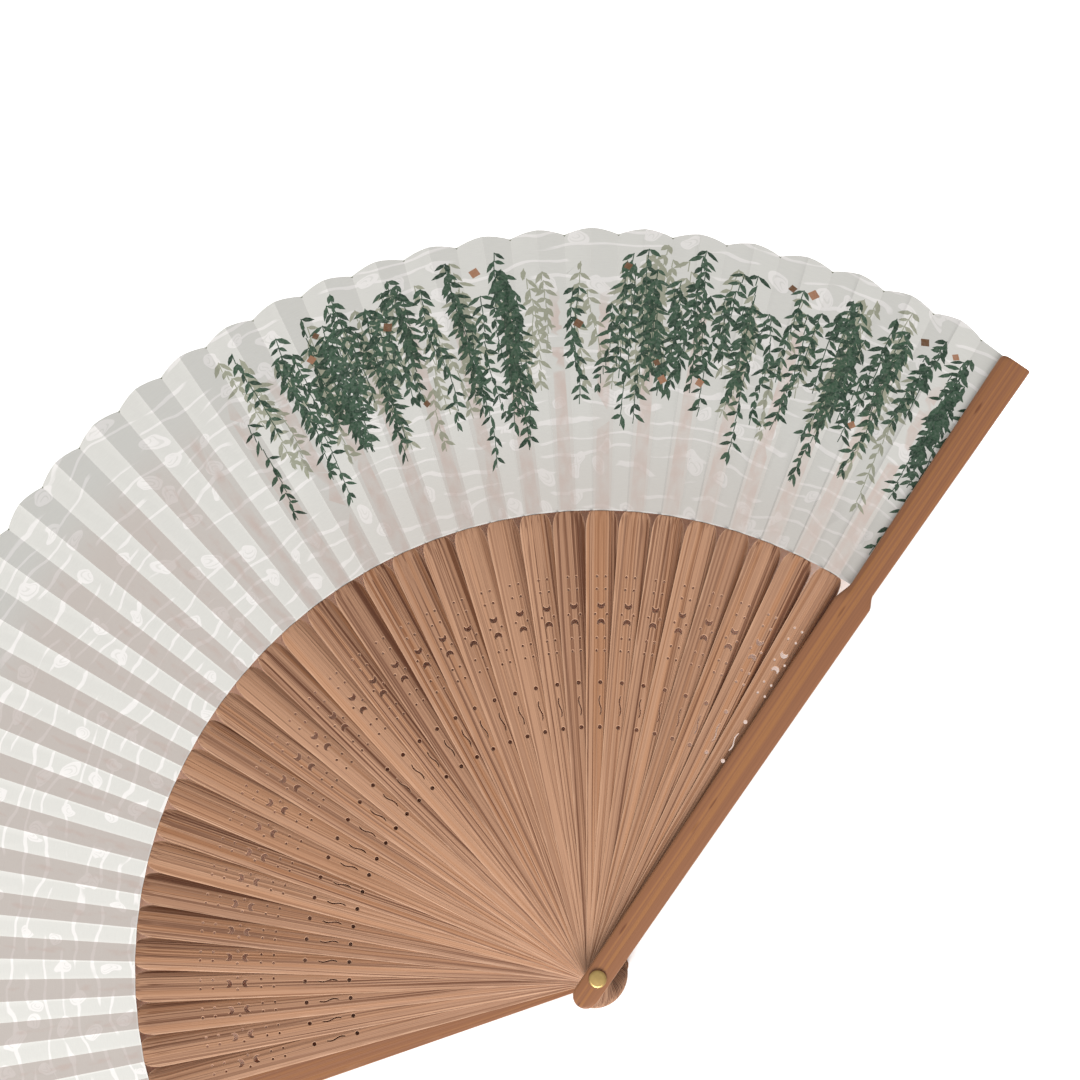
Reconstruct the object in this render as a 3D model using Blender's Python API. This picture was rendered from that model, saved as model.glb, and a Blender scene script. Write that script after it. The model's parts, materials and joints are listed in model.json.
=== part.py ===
"""A folding fan with a pleated cloth leaf, lying open and flat.

The fan lies in the XY plane. The origin is on the rivet's axis, at the bottom of the
stack, +Z points at the fan's front, and +Y is the middle of the open fan. Stick 0 is
the front guard, on top at the right. The last stick is the rear guard, at the bottom
on the left. The inner ribs lie between them, each one step lower than the one before
it, and every stick turns about the rivet in a plane of its own.

Each inner rib is a thin pierced slat that twists along its length, so that its left
edge stands higher. Its narrow end runs on behind the cloth and carries one pleat.
"""
import math

import bmesh
import bpy
from mathutils import Vector

MM = 0.001

# How many sticks, and how they open
RIB_COUNT = 33
STICK_PITCH = math.radians(4.2)

# The stack on the rivet
RIB_THICKNESS = 0.4 * MM
STACK_GAP = 0.2 * MM
GUARD_THICKNESS = 2.4 * MM

# The rivet
PIN_RADIUS = 1.0 * MM
PIN_CLEARANCE = 0.15 * MM
HEAD_RADIUS = 2.4 * MM
HEAD_HEIGHT = 0.7 * MM
HEAD_FLAT_RADIUS = 1.6 * MM
HEAD_SHOULDER_SHARE = 0.85
SEAT_GAP = 0.25 * MM
CAP_FLOOR = 0.25 * MM

# The pierced slat of an inner rib, measured from the rivet's axis
RIB_PIVOT_WIDTH = 5.8 * MM
RIB_SLAT_WIDTH = 8.7 * MM
RIB_TAIL = 8.5 * MM
SHOULDER_LENGTH = 5.5 * MM
SHOULDER_GAP = 0.6 * MM
RIB_TWIST = math.radians(14)
TWIST_START = 15 * MM

# The narrow end of a rib, behind the cloth
RIB_NECK_WIDTH = 3.8 * MM
RIB_END_WIDTH = 2.7 * MM
RIB_LENGTH = 185 * MM

# The piercings, each at its distance from the rivet's axis
UPPER_CRESCENT_AT = 99.7 * MM
LOWER_CRESCENT_AT = 95.3 * MM
CRESCENT_WIDTH = 1.5 * MM
CRESCENT_DEPTH = 1.65 * MM
CRESCENT_HOLLOW = 0.6 * MM
UPPER_HOLE_AT = 79.1 * MM
LOWER_HOLE_AT = 67.1 * MM
HOLE_RADIUS = 0.55 * MM
WAVE_START = 70.3 * MM
WAVE_LENGTH = 5.3 * MM
WAVE_SWING = 0.3 * MM
WAVE_WIDTH = 0.35 * MM

# The guards
GUARD_LENGTH = 199 * MM
GUARD_TAIL = 9 * MM
GUARD_PIVOT_WIDTH = 7.0 * MM
GUARD_SLAT_WIDTH = 9.6 * MM
GUARD_NECK_WIDTH = 6.6 * MM
GUARD_TIP_WIDTH = 8.8 * MM
GUARD_SHOULDER_LEFT = 6.5 * MM
GUARD_SHOULDER_RIGHT = 4.0 * MM
GUARD_TIP_ROUND_LEFT = 1.5 * MM
GUARD_TIP_ROUND_RIGHT = 0.5 * MM
GUARD_EDGE = 0.55 * MM
RELIEF_MARGIN = 0.15 * MM

# The leaf
LEAF_INNER_RADIUS = 125.3 * MM
LEAF_PEAK_RADIUS = 201 * MM
LEAF_VALLEY_RADIUS = 199.4 * MM
LEAF_THICKNESS = 0.25 * MM
LEAF_CLEARANCE = 0.25 * MM

# Into how many straight pieces each curve is divided
TURNED_SIDES = 16
EYE_SIDES = 10
PIERCED_HOLE_SIDES = 8
CRESCENT_OUTER_STEPS = 7
CRESCENT_INNER_STEPS = 3
WAVE_STEPS = 6
RIB_CURVE_STEPS = 3
GUARD_TAIL_STEPS = 8
GUARD_SHOULDER_STEPS = 6
GUARD_TIP_STEPS = 3
GUARD_EDGE_STEPS = 2
SHARP_ANGLE = math.radians(35)

# Worked out from the sizes above
LAST_STICK = RIB_COUNT + 1
HALF_SPREAD = LAST_STICK * STICK_PITCH / 2
HALF_PANEL = STICK_PITCH / 4
STACK_STEP = RIB_THICKNESS + STACK_GAP
HOLE_IN_STICK = PIN_RADIUS + PIN_CLEARANCE
SLAT_LENGTH = LEAF_INNER_RADIUS - SHOULDER_GAP
GUARD_RELIEF = RIB_SLAT_WIDTH / 2 * math.tan(RIB_TWIST) + RELIEF_MARGIN
GUARD_OUTSET = HEAD_HEIGHT + SEAT_GAP
REAR_GUARD_Z = GUARD_OUTSET
LOWEST_RIB_Z = REAR_GUARD_Z + GUARD_THICKNESS + STACK_GAP
FRONT_GUARD_Z = LOWEST_RIB_Z + RIB_COUNT * STACK_STEP
FRONT_HEAD_Z = FRONT_GUARD_Z + GUARD_THICKNESS + SEAT_GAP


def clear_scene():
    for old in list(bpy.data.objects):
        bpy.data.objects.remove(old, do_unlink=True)


def make_material(name, colour, roughness, metallic=0.0):
    material = bpy.data.materials.new(name)
    material.use_nodes = True
    shader = material.node_tree.nodes["Principled BSDF"]
    shader.inputs["Base Color"].default_value = (*colour, 1.0)
    shader.inputs["Roughness"].default_value = roughness
    shader.inputs["Metallic"].default_value = metallic
    return material


def add_object(name, bm, material):
    """Turns a finished bmesh into a named object in the scene."""
    bmesh.ops.recalc_face_normals(bm, faces=bm.faces[:])
    mesh = bpy.data.meshes.new(name)
    bm.to_mesh(mesh)
    bm.free()
    mesh.materials.append(material)
    piece = bpy.data.objects.new(name, mesh)
    bpy.context.collection.objects.link(piece)
    return piece


def stick_angle(stick):
    """The angle of a stick's centre line from +Y, counter-clockwise seen from the front."""
    return stick * STICK_PITCH - HALF_SPREAD


def rib_z(stick):
    """The height of an inner rib's underside on the rivet."""
    return LOWEST_RIB_Z + (RIB_COUNT - stick) * STACK_STEP


def ramp(y):
    """0 near the rivet, 1 from the top of the slats on, and straight in between."""
    return min(1.0, max(0.0, (y - TWIST_START) / (SLAT_LENGTH - TWIST_START)))


def smooth_step(t):
    t = min(1.0, max(0.0, t))
    return t * t * (3 - 2 * t)


def arc(centre_x, centre_y, radius_x, radius_y, start, end, count):
    """Points along part of an ellipse, with both ends, angles in degrees from +X."""
    points = []
    for i in range(count + 1):
        angle = math.radians(start + (end - start) * i / count)
        points.append((centre_x + radius_x * math.cos(angle), centre_y + radius_y * math.sin(angle)))
    return points


def circle(centre_y, radius, sides):
    """A closed ring of points, with its flats square to the stick."""
    half = 180 / sides
    return arc(0, centre_y, radius, radius, half, 360 + half, sides)[:-1]


def bow(half_chord, depth, count):
    """An arc that hangs below a level chord, from its left end to its right end."""
    radius = (half_chord**2 + depth**2) / (2 * depth)
    reach = math.degrees(2 * math.atan2(depth, half_chord))
    return arc(0, radius - depth, radius, radius, -90 - reach, -90 + reach, count)


def crescent(centre_y, horns):
    """A crescent whose horns point away from the rivet (+1) or towards it (-1)."""
    half = CRESCENT_WIDTH / 2
    outer = bow(half, CRESCENT_DEPTH, CRESCENT_OUTER_STEPS)
    inner = bow(half, CRESCENT_HOLLOW, CRESCENT_INNER_STEPS)[1:-1]
    middle = CRESCENT_DEPTH / 2
    return [(x, centre_y + horns * (y + middle)) for x, y in outer + inner[::-1]]


def wave_slit():
    """A narrow slit that swings once to each side of the rib's centre line."""
    left, right = [], []
    for i in range(WAVE_STEPS + 1):
        share = i / WAVE_STEPS
        x = WAVE_SWING * math.sin(2 * math.pi * share)
        y = WAVE_START + WAVE_LENGTH * share
        half = WAVE_WIDTH / 2 if 0 < i < WAVE_STEPS else WAVE_WIDTH / 4
        left.append((x - half, y))
        right.append((x + half, y))
    return right + left[::-1]


def rib_half_width(y):
    """Half the width of a slat, which widens evenly from the rivet to its shoulder."""
    share = y / (SLAT_LENGTH - SHOULDER_LENGTH)
    return (RIB_PIVOT_WIDTH + (RIB_SLAT_WIDTH - RIB_PIVOT_WIDTH) * share) / 2


def mirrored(right):
    """The points of a right side, and then the same side down the left."""
    return right + [(-x, y) for x, y in reversed(right)]


def rib_piercings():
    """The ornament of a slat, from the rivet upwards."""
    return [
        circle(LOWER_HOLE_AT, HOLE_RADIUS, PIERCED_HOLE_SIDES),
        wave_slit(),
        circle(UPPER_HOLE_AT, HOLE_RADIUS, PIERCED_HOLE_SIDES),
        crescent(LOWER_CRESCENT_AT, -1),
        crescent(UPPER_CRESCENT_AT, 1),
    ]


def rib_strips():
    """The flat rib as a stack of strips, each an outline and the hole in it, if any.

    Neighbouring strips meet on straight lines, one halfway between each two piercings,
    so the finished rib can twist from line to line without long slanting faces.
    """
    piercings = rib_piercings()
    lowest = min(y for _, y in piercings[0])
    highest = max(y for _, y in piercings[-1])
    shoulder_y = SLAT_LENGTH - SHOULDER_LENGTH
    lines = [TWIST_START, (TWIST_START + lowest) / 2]
    for below, above in zip(piercings, piercings[1:]):
        lines.append((max(y for _, y in below) + min(y for _, y in above)) / 2)
    lines.append((highest + shoulder_y) / 2)

    pivot, slat = RIB_PIVOT_WIDTH / 2, RIB_SLAT_WIDTH / 2
    neck, end = RIB_NECK_WIDTH / 2, RIB_END_WIDTH / 2
    tail = arc(0, pivot - RIB_TAIL, pivot, pivot, 270, 360, RIB_CURVE_STEPS)
    eye = circle(0, HOLE_IN_STICK / math.cos(math.pi / EYE_SIDES), EYE_SIDES)
    strips = [(mirrored(tail + [(rib_half_width(TWIST_START), TWIST_START)])[1:], eye)]
    for low, high, hole in zip(lines, lines[1:], [None, *piercings]):
        strips.append((mirrored([(rib_half_width(low), low), (rib_half_width(high), high)]), hole))
    shoulder = arc(neck, shoulder_y, slat - neck, SHOULDER_LENGTH, 0, 90, RIB_CURVE_STEPS)
    strips.append((mirrored([(rib_half_width(lines[-1]), lines[-1])] + shoulder), None))
    narrow_end = [(neck, SLAT_LENGTH), (end, RIB_LENGTH - end / 2), (end / 2, RIB_LENGTH)]
    strips.append((mirrored(narrow_end), None))
    return strips


def pierced_sheet(strips):
    """One flat sheet from strips that meet edge to edge, each with a hole or without."""
    bm = bmesh.new()
    for outline, hole in strips:
        edges = []
        for loop in [outline, hole] if hole else [outline]:
            verts = [bm.verts.new((x, y, 0)) for x, y in loop]
            edges += [bm.edges.new(pair) for pair in zip(verts, verts[1:] + verts[:1])]
        bmesh.ops.triangle_fill(bm, use_beauty=True, edges=edges, normal=(0, 0, 1))
    bmesh.ops.remove_doubles(bm, verts=bm.verts[:], dist=0.001 * MM)
    return bm


def thicken(bm, thickness):
    """Extrudes every face of a flat sheet upwards into one closed solid."""
    grown = bmesh.ops.extrude_face_region(bm, geom=bm.faces[:])["geom"]
    tops = [item for item in grown if isinstance(item, bmesh.types.BMVert)]
    bmesh.ops.translate(bm, verts=tops, vec=(0, 0, thickness))


def make_rib_mesh(material):
    """One rib for all of them: pierced, cut out flat, thickened and then twisted."""
    bm = pierced_sheet(rib_strips())
    thicken(bm, RIB_THICKNESS)
    for vert in bm.verts:
        vert.co.z -= vert.co.x * math.tan(RIB_TWIST) * ramp(vert.co.y)
    bmesh.ops.recalc_face_normals(bm, faces=bm.faces[:])
    mesh = bpy.data.meshes.new("rib")
    bm.to_mesh(mesh)
    bm.free()
    mesh.materials.append(material)
    return mesh


def make_ribs(material):
    mesh = make_rib_mesh(material)
    for stick in range(1, LAST_STICK):
        rib = bpy.data.objects.new(f"rib_{stick:02d}", mesh)
        rib.location.z = rib_z(stick)
        rib.rotation_euler.z = stick_angle(stick)
        bpy.context.collection.objects.link(rib)


def guard_side(shoulder, tip_round):
    """One long side of a guard as half widths, from the rivet to the middle of its tip."""
    pivot, slat = GUARD_PIVOT_WIDTH / 2, GUARD_SLAT_WIDTH / 2
    neck, tip = GUARD_NECK_WIDTH / 2, GUARD_TIP_WIDTH / 2
    neck_y = LEAF_INNER_RADIUS + SHOULDER_GAP
    points = [(pivot, 0.0)]
    for i in range(GUARD_SHOULDER_STEPS + 1):
        share = i / GUARD_SHOULDER_STEPS
        half = slat + (neck - slat) * smooth_step(share)
        points.append((half, neck_y - shoulder * (1 - share)))
    rounded = arc(tip - tip_round, GUARD_LENGTH - tip_round, tip_round, tip_round, 0, 90, GUARD_TIP_STEPS)
    return points + rounded


def guard_outline():
    """A guard seen from the front, tail down, counter-clockwise."""
    pivot = GUARD_PIVOT_WIDTH / 2
    right = guard_side(GUARD_SHOULDER_RIGHT, GUARD_TIP_ROUND_RIGHT)
    left = guard_side(GUARD_SHOULDER_LEFT, GUARD_TIP_ROUND_LEFT)
    tail = arc(0, pivot - GUARD_TAIL, pivot, pivot, 180, 360, GUARD_TAIL_STEPS)
    return tail + right + [(-x, y) for x, y in reversed(left)]


def make_guard(name, base_z, angle, outward, material):
    """A guard whose outer face looks up (+1) or down (-1).

    Its long outer edges are rounded over. From the start of the ribs' twist to the top
    of the slats the guard bows outwards, which leaves room inside for the twisted ribs
    and the leaf.
    """
    bm = bmesh.new()
    bm.faces.new([bm.verts.new((x, y, 0)) for x, y in guard_outline()])
    thicken(bm, GUARD_THICKNESS)
    outer_z = GUARD_THICKNESS if outward > 0 else 0
    rim = [e for e in bm.edges if all(abs(v.co.z - outer_z) < STACK_GAP / 2 for v in e.verts)]
    bmesh.ops.bevel(bm, geom=rim, offset=GUARD_EDGE, segments=GUARD_EDGE_STEPS, profile=0.5, affect="EDGES")
    for y in (TWIST_START, SLAT_LENGTH):
        everything = bm.verts[:] + bm.edges[:] + bm.faces[:]
        bmesh.ops.bisect_plane(bm, geom=everything, plane_co=(0, y, 0), plane_no=(0, 1, 0))
    for vert in bm.verts:
        height = vert.co.z / GUARD_THICKNESS if outward > 0 else 1 - vert.co.z / GUARD_THICKNESS
        shift = GUARD_RELIEF + (GUARD_OUTSET - GUARD_RELIEF) * height
        vert.co.z += outward * shift * ramp(vert.co.y)
    guard = add_object(name, bm, material)
    guard.location.z = base_z
    guard.rotation_euler.z = angle
    return guard


def drill(guard, cutter):
    cut = guard.modifiers.new("rivet hole", "BOOLEAN")
    cut.operation = "DIFFERENCE"
    cut.solver = "EXACT"
    cut.object = cutter


def make_hole_cutter():
    """A drill through the whole stack, which is only a guide."""
    bm = bmesh.new()
    height = FRONT_HEAD_Z + HEAD_HEIGHT
    bmesh.ops.create_cone(bm, cap_ends=True, segments=TURNED_SIDES, radius1=HOLE_IN_STICK,
                          radius2=HOLE_IN_STICK, depth=2 * height)
    cutter = add_object("rivet_hole_cutter", bm, make_material("guide", (0.8, 0.2, 0.2), 0.5))
    cutter.hide_render = True
    cutter.display_type = "WIRE"
    return cutter


def turned(name, profile, material):
    """A round piece: a profile of (radius, height) points turned about the rivet's axis."""
    bm = bmesh.new()
    verts = [bm.verts.new((radius, 0, z)) for radius, z in profile]
    edges = [bm.edges.new(pair) for pair in zip(verts, verts[1:])]
    bmesh.ops.spin(bm, geom=verts + edges, axis=(0, 0, 1), cent=(0, 0, 0),
                   angle=2 * math.pi, steps=TURNED_SIDES)
    bmesh.ops.remove_doubles(bm, verts=bm.verts[:], dist=0.001 * MM)
    piece = add_object(name, bm, material)
    piece.data.shade_smooth()
    piece.data.set_sharp_from_angle(angle=SHARP_ANGLE)
    return piece


def head_profile(seat_z, outward):
    """The rounded outside of a rivet head, from its flat middle down to its rim."""
    top = seat_z + outward * HEAD_HEIGHT
    waist = seat_z + outward * HEAD_HEIGHT / 2
    corner = (HEAD_FLAT_RADIUS + HEAD_RADIUS) / 2
    shoulder = seat_z + outward * HEAD_HEIGHT * HEAD_SHOULDER_SHARE
    return [(0, top), (HEAD_FLAT_RADIUS, top), (corner, shoulder), (HEAD_RADIUS, waist),
            (HEAD_RADIUS, seat_z)]


def make_rivet(material):
    """A pin with a rounded head in front, and the cap pressed on its end behind."""
    pin_end = CAP_FLOOR + PIN_CLEARANCE
    head = head_profile(FRONT_HEAD_Z, 1)
    turned("rivet_pin", head + [(PIN_RADIUS, FRONT_HEAD_Z), (PIN_RADIUS, pin_end), (0, pin_end)], material)
    cap = head_profile(HEAD_HEIGHT, -1)
    bore = [(HOLE_IN_STICK, HEAD_HEIGHT), (HOLE_IN_STICK, CAP_FLOOR), (0, CAP_FLOOR)]
    turned("rivet_cap", cap + bore, material)


def crease(stick, side, radius):
    """A point on the edge of the pleat that a stick carries: side is -1 right, +1 left.

    The pleat of an inner rib lies along the rib's twisted face. Those of the guards lie
    flat on the guards' inner faces.
    """
    angle = stick_angle(stick) + side * HALF_PANEL
    standoff = LEAF_CLEARANCE + LEAF_THICKNESS / 2
    if stick == 0:
        z = FRONT_GUARD_Z + GUARD_RELIEF - standoff
    elif stick == LAST_STICK:
        z = LOWEST_RIB_Z - STACK_GAP - GUARD_RELIEF + standoff
    else:
        rise = side * radius * math.sin(HALF_PANEL) * math.tan(RIB_TWIST)
        z = rib_z(stick) + RIB_THICKNESS + standoff + rise
    return Vector((-radius * math.sin(angle), radius * math.cos(angle), z))


def make_leaf(material):
    """The pleated cloth: one panel on each stick and one free panel between two sticks."""
    bm = bmesh.new()
    strips = []
    for stick in range(LAST_STICK + 1):
        for side, rim in ((-1, LEAF_VALLEY_RADIUS), (1, LEAF_PEAK_RADIUS)):
            strips.append([bm.verts.new(crease(stick, side, r)) for r in (LEAF_INNER_RADIUS, rim)])
    for (a, b), (c, d) in zip(strips, strips[1:]):
        bm.faces.new((a, b, d, c))
    leaf = add_object("leaf", bm, material)
    cloth = leaf.modifiers.new("cloth thickness", "SOLIDIFY")
    cloth.thickness = LEAF_THICKNESS
    cloth.offset = 0
    cloth.use_even_offset = True
    return leaf


def build():
    clear_scene()
    rib_bamboo = make_material("rib bamboo", (0.43, 0.24, 0.15), 0.6)
    guard_bamboo = make_material("guard bamboo", (0.34, 0.15, 0.06), 0.45)
    cloth = make_material("leaf cloth", (0.66, 0.66, 0.62), 0.85)
    brass = make_material("rivet brass", (0.65, 0.48, 0.22), 0.35, 1.0)
    cutter = make_hole_cutter()
    drill(make_guard("front_guard", FRONT_GUARD_Z, stick_angle(0), 1, guard_bamboo), cutter)
    drill(make_guard("rear_guard", REAR_GUARD_Z, stick_angle(LAST_STICK), -1, guard_bamboo), cutter)
    make_ribs(rib_bamboo)
    make_leaf(cloth)
    make_rivet(brass)


build()
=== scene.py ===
# %% [markdown]
# # A folding fan, open and flat
#
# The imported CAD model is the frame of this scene. It comes in first, in metres, with the
# rivet's axis at the origin, +Z towards the fan's front and +Y up the middle of the open
# fan. Every piece below is built in that same frame, so nothing has to be fitted later.

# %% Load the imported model
import json
import math
import bpy
import bmesh
import numpy as np
from mathutils import Matrix, Vector
from mathutils.geometry import delaunay_2d_cdt


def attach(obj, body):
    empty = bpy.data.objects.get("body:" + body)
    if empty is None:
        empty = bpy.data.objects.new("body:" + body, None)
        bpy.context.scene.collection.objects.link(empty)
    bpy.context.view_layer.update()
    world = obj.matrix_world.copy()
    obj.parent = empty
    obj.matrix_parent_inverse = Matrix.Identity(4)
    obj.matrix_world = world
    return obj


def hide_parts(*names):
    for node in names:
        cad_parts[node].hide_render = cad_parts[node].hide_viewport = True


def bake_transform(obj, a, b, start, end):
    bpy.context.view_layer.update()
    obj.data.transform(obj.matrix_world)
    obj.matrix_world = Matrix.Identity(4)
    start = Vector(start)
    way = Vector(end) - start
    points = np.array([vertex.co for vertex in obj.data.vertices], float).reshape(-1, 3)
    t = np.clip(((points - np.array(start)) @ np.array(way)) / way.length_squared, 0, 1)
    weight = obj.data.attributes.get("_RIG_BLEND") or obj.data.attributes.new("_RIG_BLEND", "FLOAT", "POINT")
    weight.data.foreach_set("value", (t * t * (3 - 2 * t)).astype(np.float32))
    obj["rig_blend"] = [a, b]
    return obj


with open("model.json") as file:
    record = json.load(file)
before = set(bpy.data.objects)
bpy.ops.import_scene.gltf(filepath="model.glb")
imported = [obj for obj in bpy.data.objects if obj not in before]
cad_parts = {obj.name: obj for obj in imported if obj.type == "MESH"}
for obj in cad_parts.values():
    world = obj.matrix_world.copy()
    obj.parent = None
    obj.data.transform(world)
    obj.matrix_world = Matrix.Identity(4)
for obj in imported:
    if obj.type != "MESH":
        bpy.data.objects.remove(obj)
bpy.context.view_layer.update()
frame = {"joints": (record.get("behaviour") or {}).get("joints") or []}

# %% [markdown]
# ## The sizes that the pieces share
#
# A fan's sticks all turn on one rivet. The angle between two neighbours is the angle that
# the front guard swings, shared out evenly, so it is read from the joint's own limit. The
# heights of the stack are given here as numbers, and so is what the solids can't tell,
# such as how far a rib is twisted.

# %% Sizes of the sticks and the leaf
MM, TO_MM = 0.001, 1000
RIBS = 33
REAR = RIBS + 1
guard_joint = next(j for j in frame["joints"] if j["name"] == "front_guard_turn")
OPEN_ANGLE = math.radians(guard_joint["range_deg"][1])
PITCH = OPEN_ANGLE / REAR
TWIST = math.tan(math.radians(14))
TWIST_START = 15 * MM
SLAT_END = 124.7 * MM
STACK_STEP = 0.6 * MM
TOP_RIB_Z = 22.75 * MM
LEAF_START = 125.18 * MM
LEAF_PEAK = 201 * MM
LEAF_VALLEY = 199.4 * MM
print("angle between sticks:", round(math.degrees(PITCH), 3))


def stick_angle(stick):
    """A stick's angle from +Y, counter-clockwise from the front."""
    return stick * PITCH - OPEN_ANGLE / 2


# %% [markdown]
# ## Camera
#
# The photo looks straight down on the fan as it lies open. The fan is turned in the
# picture, so that its middle leans 37 degrees to the left, and the rivet lies below the
# picture's middle. A long lens from above keeps the sticks free of perspective, as they
# are in a product photo. The view is 291 mm wide where the ribs are.

# %% Make the camera
PHOTO_TURN = math.radians(37.2)
VIEW_WIDTH = 291.1 * MM
VIEW_ABOVE_RIVET, VIEW_LEFT_OF_RIVET = 117.2, 15.36
CAMERA_HEIGHT, FAN_MIDDLE_Z = 1.25, 0.0135
SENSOR = 36.0
photo_up = Vector((math.sin(PHOTO_TURN), math.cos(PHOTO_TURN), 0))
photo_right = Vector((math.cos(PHOTO_TURN), -math.sin(PHOTO_TURN), 0))
view_middle = photo_up * VIEW_ABOVE_RIVET * MM - photo_right * VIEW_LEFT_OF_RIVET * MM

camera = bpy.data.objects.new("camera", bpy.data.cameras.new("camera"))
camera.data.sensor_width = SENSOR
camera.data.lens = SENSOR * CAMERA_HEIGHT / VIEW_WIDTH
camera.location = view_middle + Vector((0, 0, CAMERA_HEIGHT + FAN_MIDDLE_Z))
camera.rotation_euler = (0, 0, -PHOTO_TURN)
bpy.context.collection.objects.link(camera)
bpy.context.scene.camera = camera
print("lens:", round(camera.data.lens, 1))

# %% [markdown]
# ## Short ways to build node trees
#
# Materials and Geometry Nodes are both trees of nodes. A formula in such a tree needs one
# Math node for each sign, which is long to write. The small class below lets a script
# write the formula as it is, and adds the Math nodes by itself. A group of nodes that
# more than one tree or piece uses gets named sockets, as a tool has labelled dials.


# %% Helpers for node trees
def feed(tree, slot, value):
    """Links a field to a socket, or sets the socket to a plain value."""
    if isinstance(value, Field):
        tree.links.new(value.socket, slot)
    else:
        slot.default_value = value


def add_node(tree, kind, inputs=None, **settings):
    """Adds a node, sets it up, and feeds its inputs by name or number."""
    node = tree.nodes.new(kind)
    for name, value in settings.items():
        setattr(node, name, value)
    for name, value in (inputs or {}).items():
        feed(tree, node.inputs[name], value)
    return node


class Field:
    """A value that changes over a surface. Signs between fields become Math nodes."""

    def __init__(self, socket):
        self.socket = socket

    def math(self, operation, *others):
        inputs = dict(enumerate((self, *others)))
        tree = self.socket.id_data
        return Field(add_node(tree, "ShaderNodeMath", inputs, operation=operation).outputs[0])

    def clamped(self):
        return self.math("MAXIMUM", 0.0).math("MINIMUM", 1.0)

    def __add__(self, other):
        return self.math("ADD", other)

    def __sub__(self, other):
        return self.math("SUBTRACT", other)

    def __mul__(self, other):
        return self.math("MULTIPLY", other)

    def __truediv__(self, other):
        return self.math("DIVIDE", other)

    def __rsub__(self, other):
        return self * -1 + other

    __radd__ = __add__
    __rmul__ = __mul__


def out(node, name=0):
    return Field(node.outputs[name])


def ease(value, low, high):
    """0 below low, 1 above high, and a smooth way between them."""
    inputs = {"Value": value, "From Min": low, "From Max": high}
    tree = value.socket.id_data
    return out(add_node(tree, "ShaderNodeMapRange", inputs, interpolation_type="SMOOTHSTEP"))


def first_tree(values):
    return next(v for v in values if isinstance(v, Field)).socket.id_data


def combine(x, y, z):
    return out(add_node(first_tree((x, y, z)), "ShaderNodeCombineXYZ", {"X": x, "Y": y, "Z": z}))


def split(vector):
    node = add_node(vector.socket.id_data, "ShaderNodeSeparateXYZ", {0: vector})
    return out(node, "X"), out(node, "Y"), out(node, "Z")


def noise(place, scale=1.0, detail=2.0):
    inputs = {"Vector": place, "Scale": scale, "Detail": detail}
    return out(add_node(place.socket.id_data, "ShaderNodeTexNoise", inputs))


def mix(factor, a, b):
    """One colour laid over another."""
    tree = first_tree((factor, a, b))
    return out(add_node(tree, "ShaderNodeMix", {0: factor, 6: a, 7: b}, data_type="RGBA"), 2)


def start_group(name, tree_type, inputs, outputs):
    """A node group whose sockets have names and kinds. Gives its tree, inputs and end."""
    tree = bpy.data.node_groups.new(name, tree_type)
    for in_out, sockets in (("INPUT", inputs), ("OUTPUT", outputs)):
        for label, kind in sockets.items():
            tree.interface.new_socket(label, in_out=in_out, socket_type=f"NodeSocket{kind}")
    start, end = tree.nodes.new("NodeGroupInput"), tree.nodes.new("NodeGroupOutput")
    return tree, {label: Field(start.outputs[label]) for label in inputs}, end.inputs


print("signs that become nodes: + - * /")

# %% [markdown]
# ## Floor and light
#
# A product photo is lit by large soft sources, so that shadows stay thin. Here one wide
# panel stands low beyond the lower edge of the picture. It makes every second pleat on
# the left bright and the next one dark, and leaves the right side of each stick in
# shade. An even white surrounding fills the rest. The floor is a plain pale plane,
# and isn't part of the fan. From a little inside the rim outwards, and faintly wherever it
# is open, it glows: painted light that washes out the fan's shadow, so the ground stays
# white without any shadow. Close under the sticks, light only reaches it from one stick to
# the next, so there its colour is painted brown and dark: painted shade, warmed as by the
# bamboo's bounce. An Ambient Occlusion node finds such places, so the gaps between the
# sticks and their piercings look warm and dark.

# %% Make the floor
FLOOR_REACH, FLOOR_Z = 2, -0.02 * MM
PALE, BROWN_SHADE = (0.93, 0.93, 0.93, 1), (0.93, 0.58, 0.42, 1)


def start_material(name):
    material = bpy.data.materials.new(name)
    material.use_nodes = True
    return material, material.node_tree, material.node_tree.nodes["Principled BSDF"]


floor_paint, tree, shader = start_material("pale floor")
shader.inputs["Roughness"].default_value = 0.9
shader.inputs["Emission Color"].default_value = (1, 1, 1, 1)
place = out(add_node(tree, "ShaderNodeTexCoord"), "Object")
from_rivet = out(add_node(tree, "ShaderNodeVectorMath", {0: place}, operation="LENGTH"), "Value")
open_sky = out(add_node(tree, "ShaderNodeAmbientOcclusion", {"Distance": 0.15}, samples=8), "AO")
# Painted shade: close under the sticks the floor's colour is painted brown and darker.
sheltered = (1.0 - ease(open_sky, 0.2, 0.5)) * (1.0 - ease(from_rivet, 0.126, 0.165))
feed(tree, shader.inputs["Base Color"], mix(sheltered, PALE, BROWN_SHADE))
# Painted light: the floor glows past the rim and where it is open, which washes out the fan's shadow.
painted_glow = (ease(from_rivet, 0.170, 0.190) * 0.8).math("MAXIMUM", ease(open_sky, 0.5, 0.95) * 0.12)
feed(tree, shader.inputs["Emission Strength"], painted_glow)
floor_mesh = bpy.data.meshes.new("floor")
corners = [(x * FLOOR_REACH, y * FLOOR_REACH, FLOOR_Z) for x, y in ((-1, -1), (1, -1), (1, 1), (-1, 1))]
floor_mesh.from_pydata(corners, [], [(0, 1, 2, 3)])
floor_mesh.materials.append(floor_paint)
floor = bpy.data.objects.new("floor", floor_mesh)
bpy.context.collection.objects.link(floor)
print("floor:", 2 * FLOOR_REACH, "m wide")

# %% Light the fan
SURROUNDING = 0.565


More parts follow.
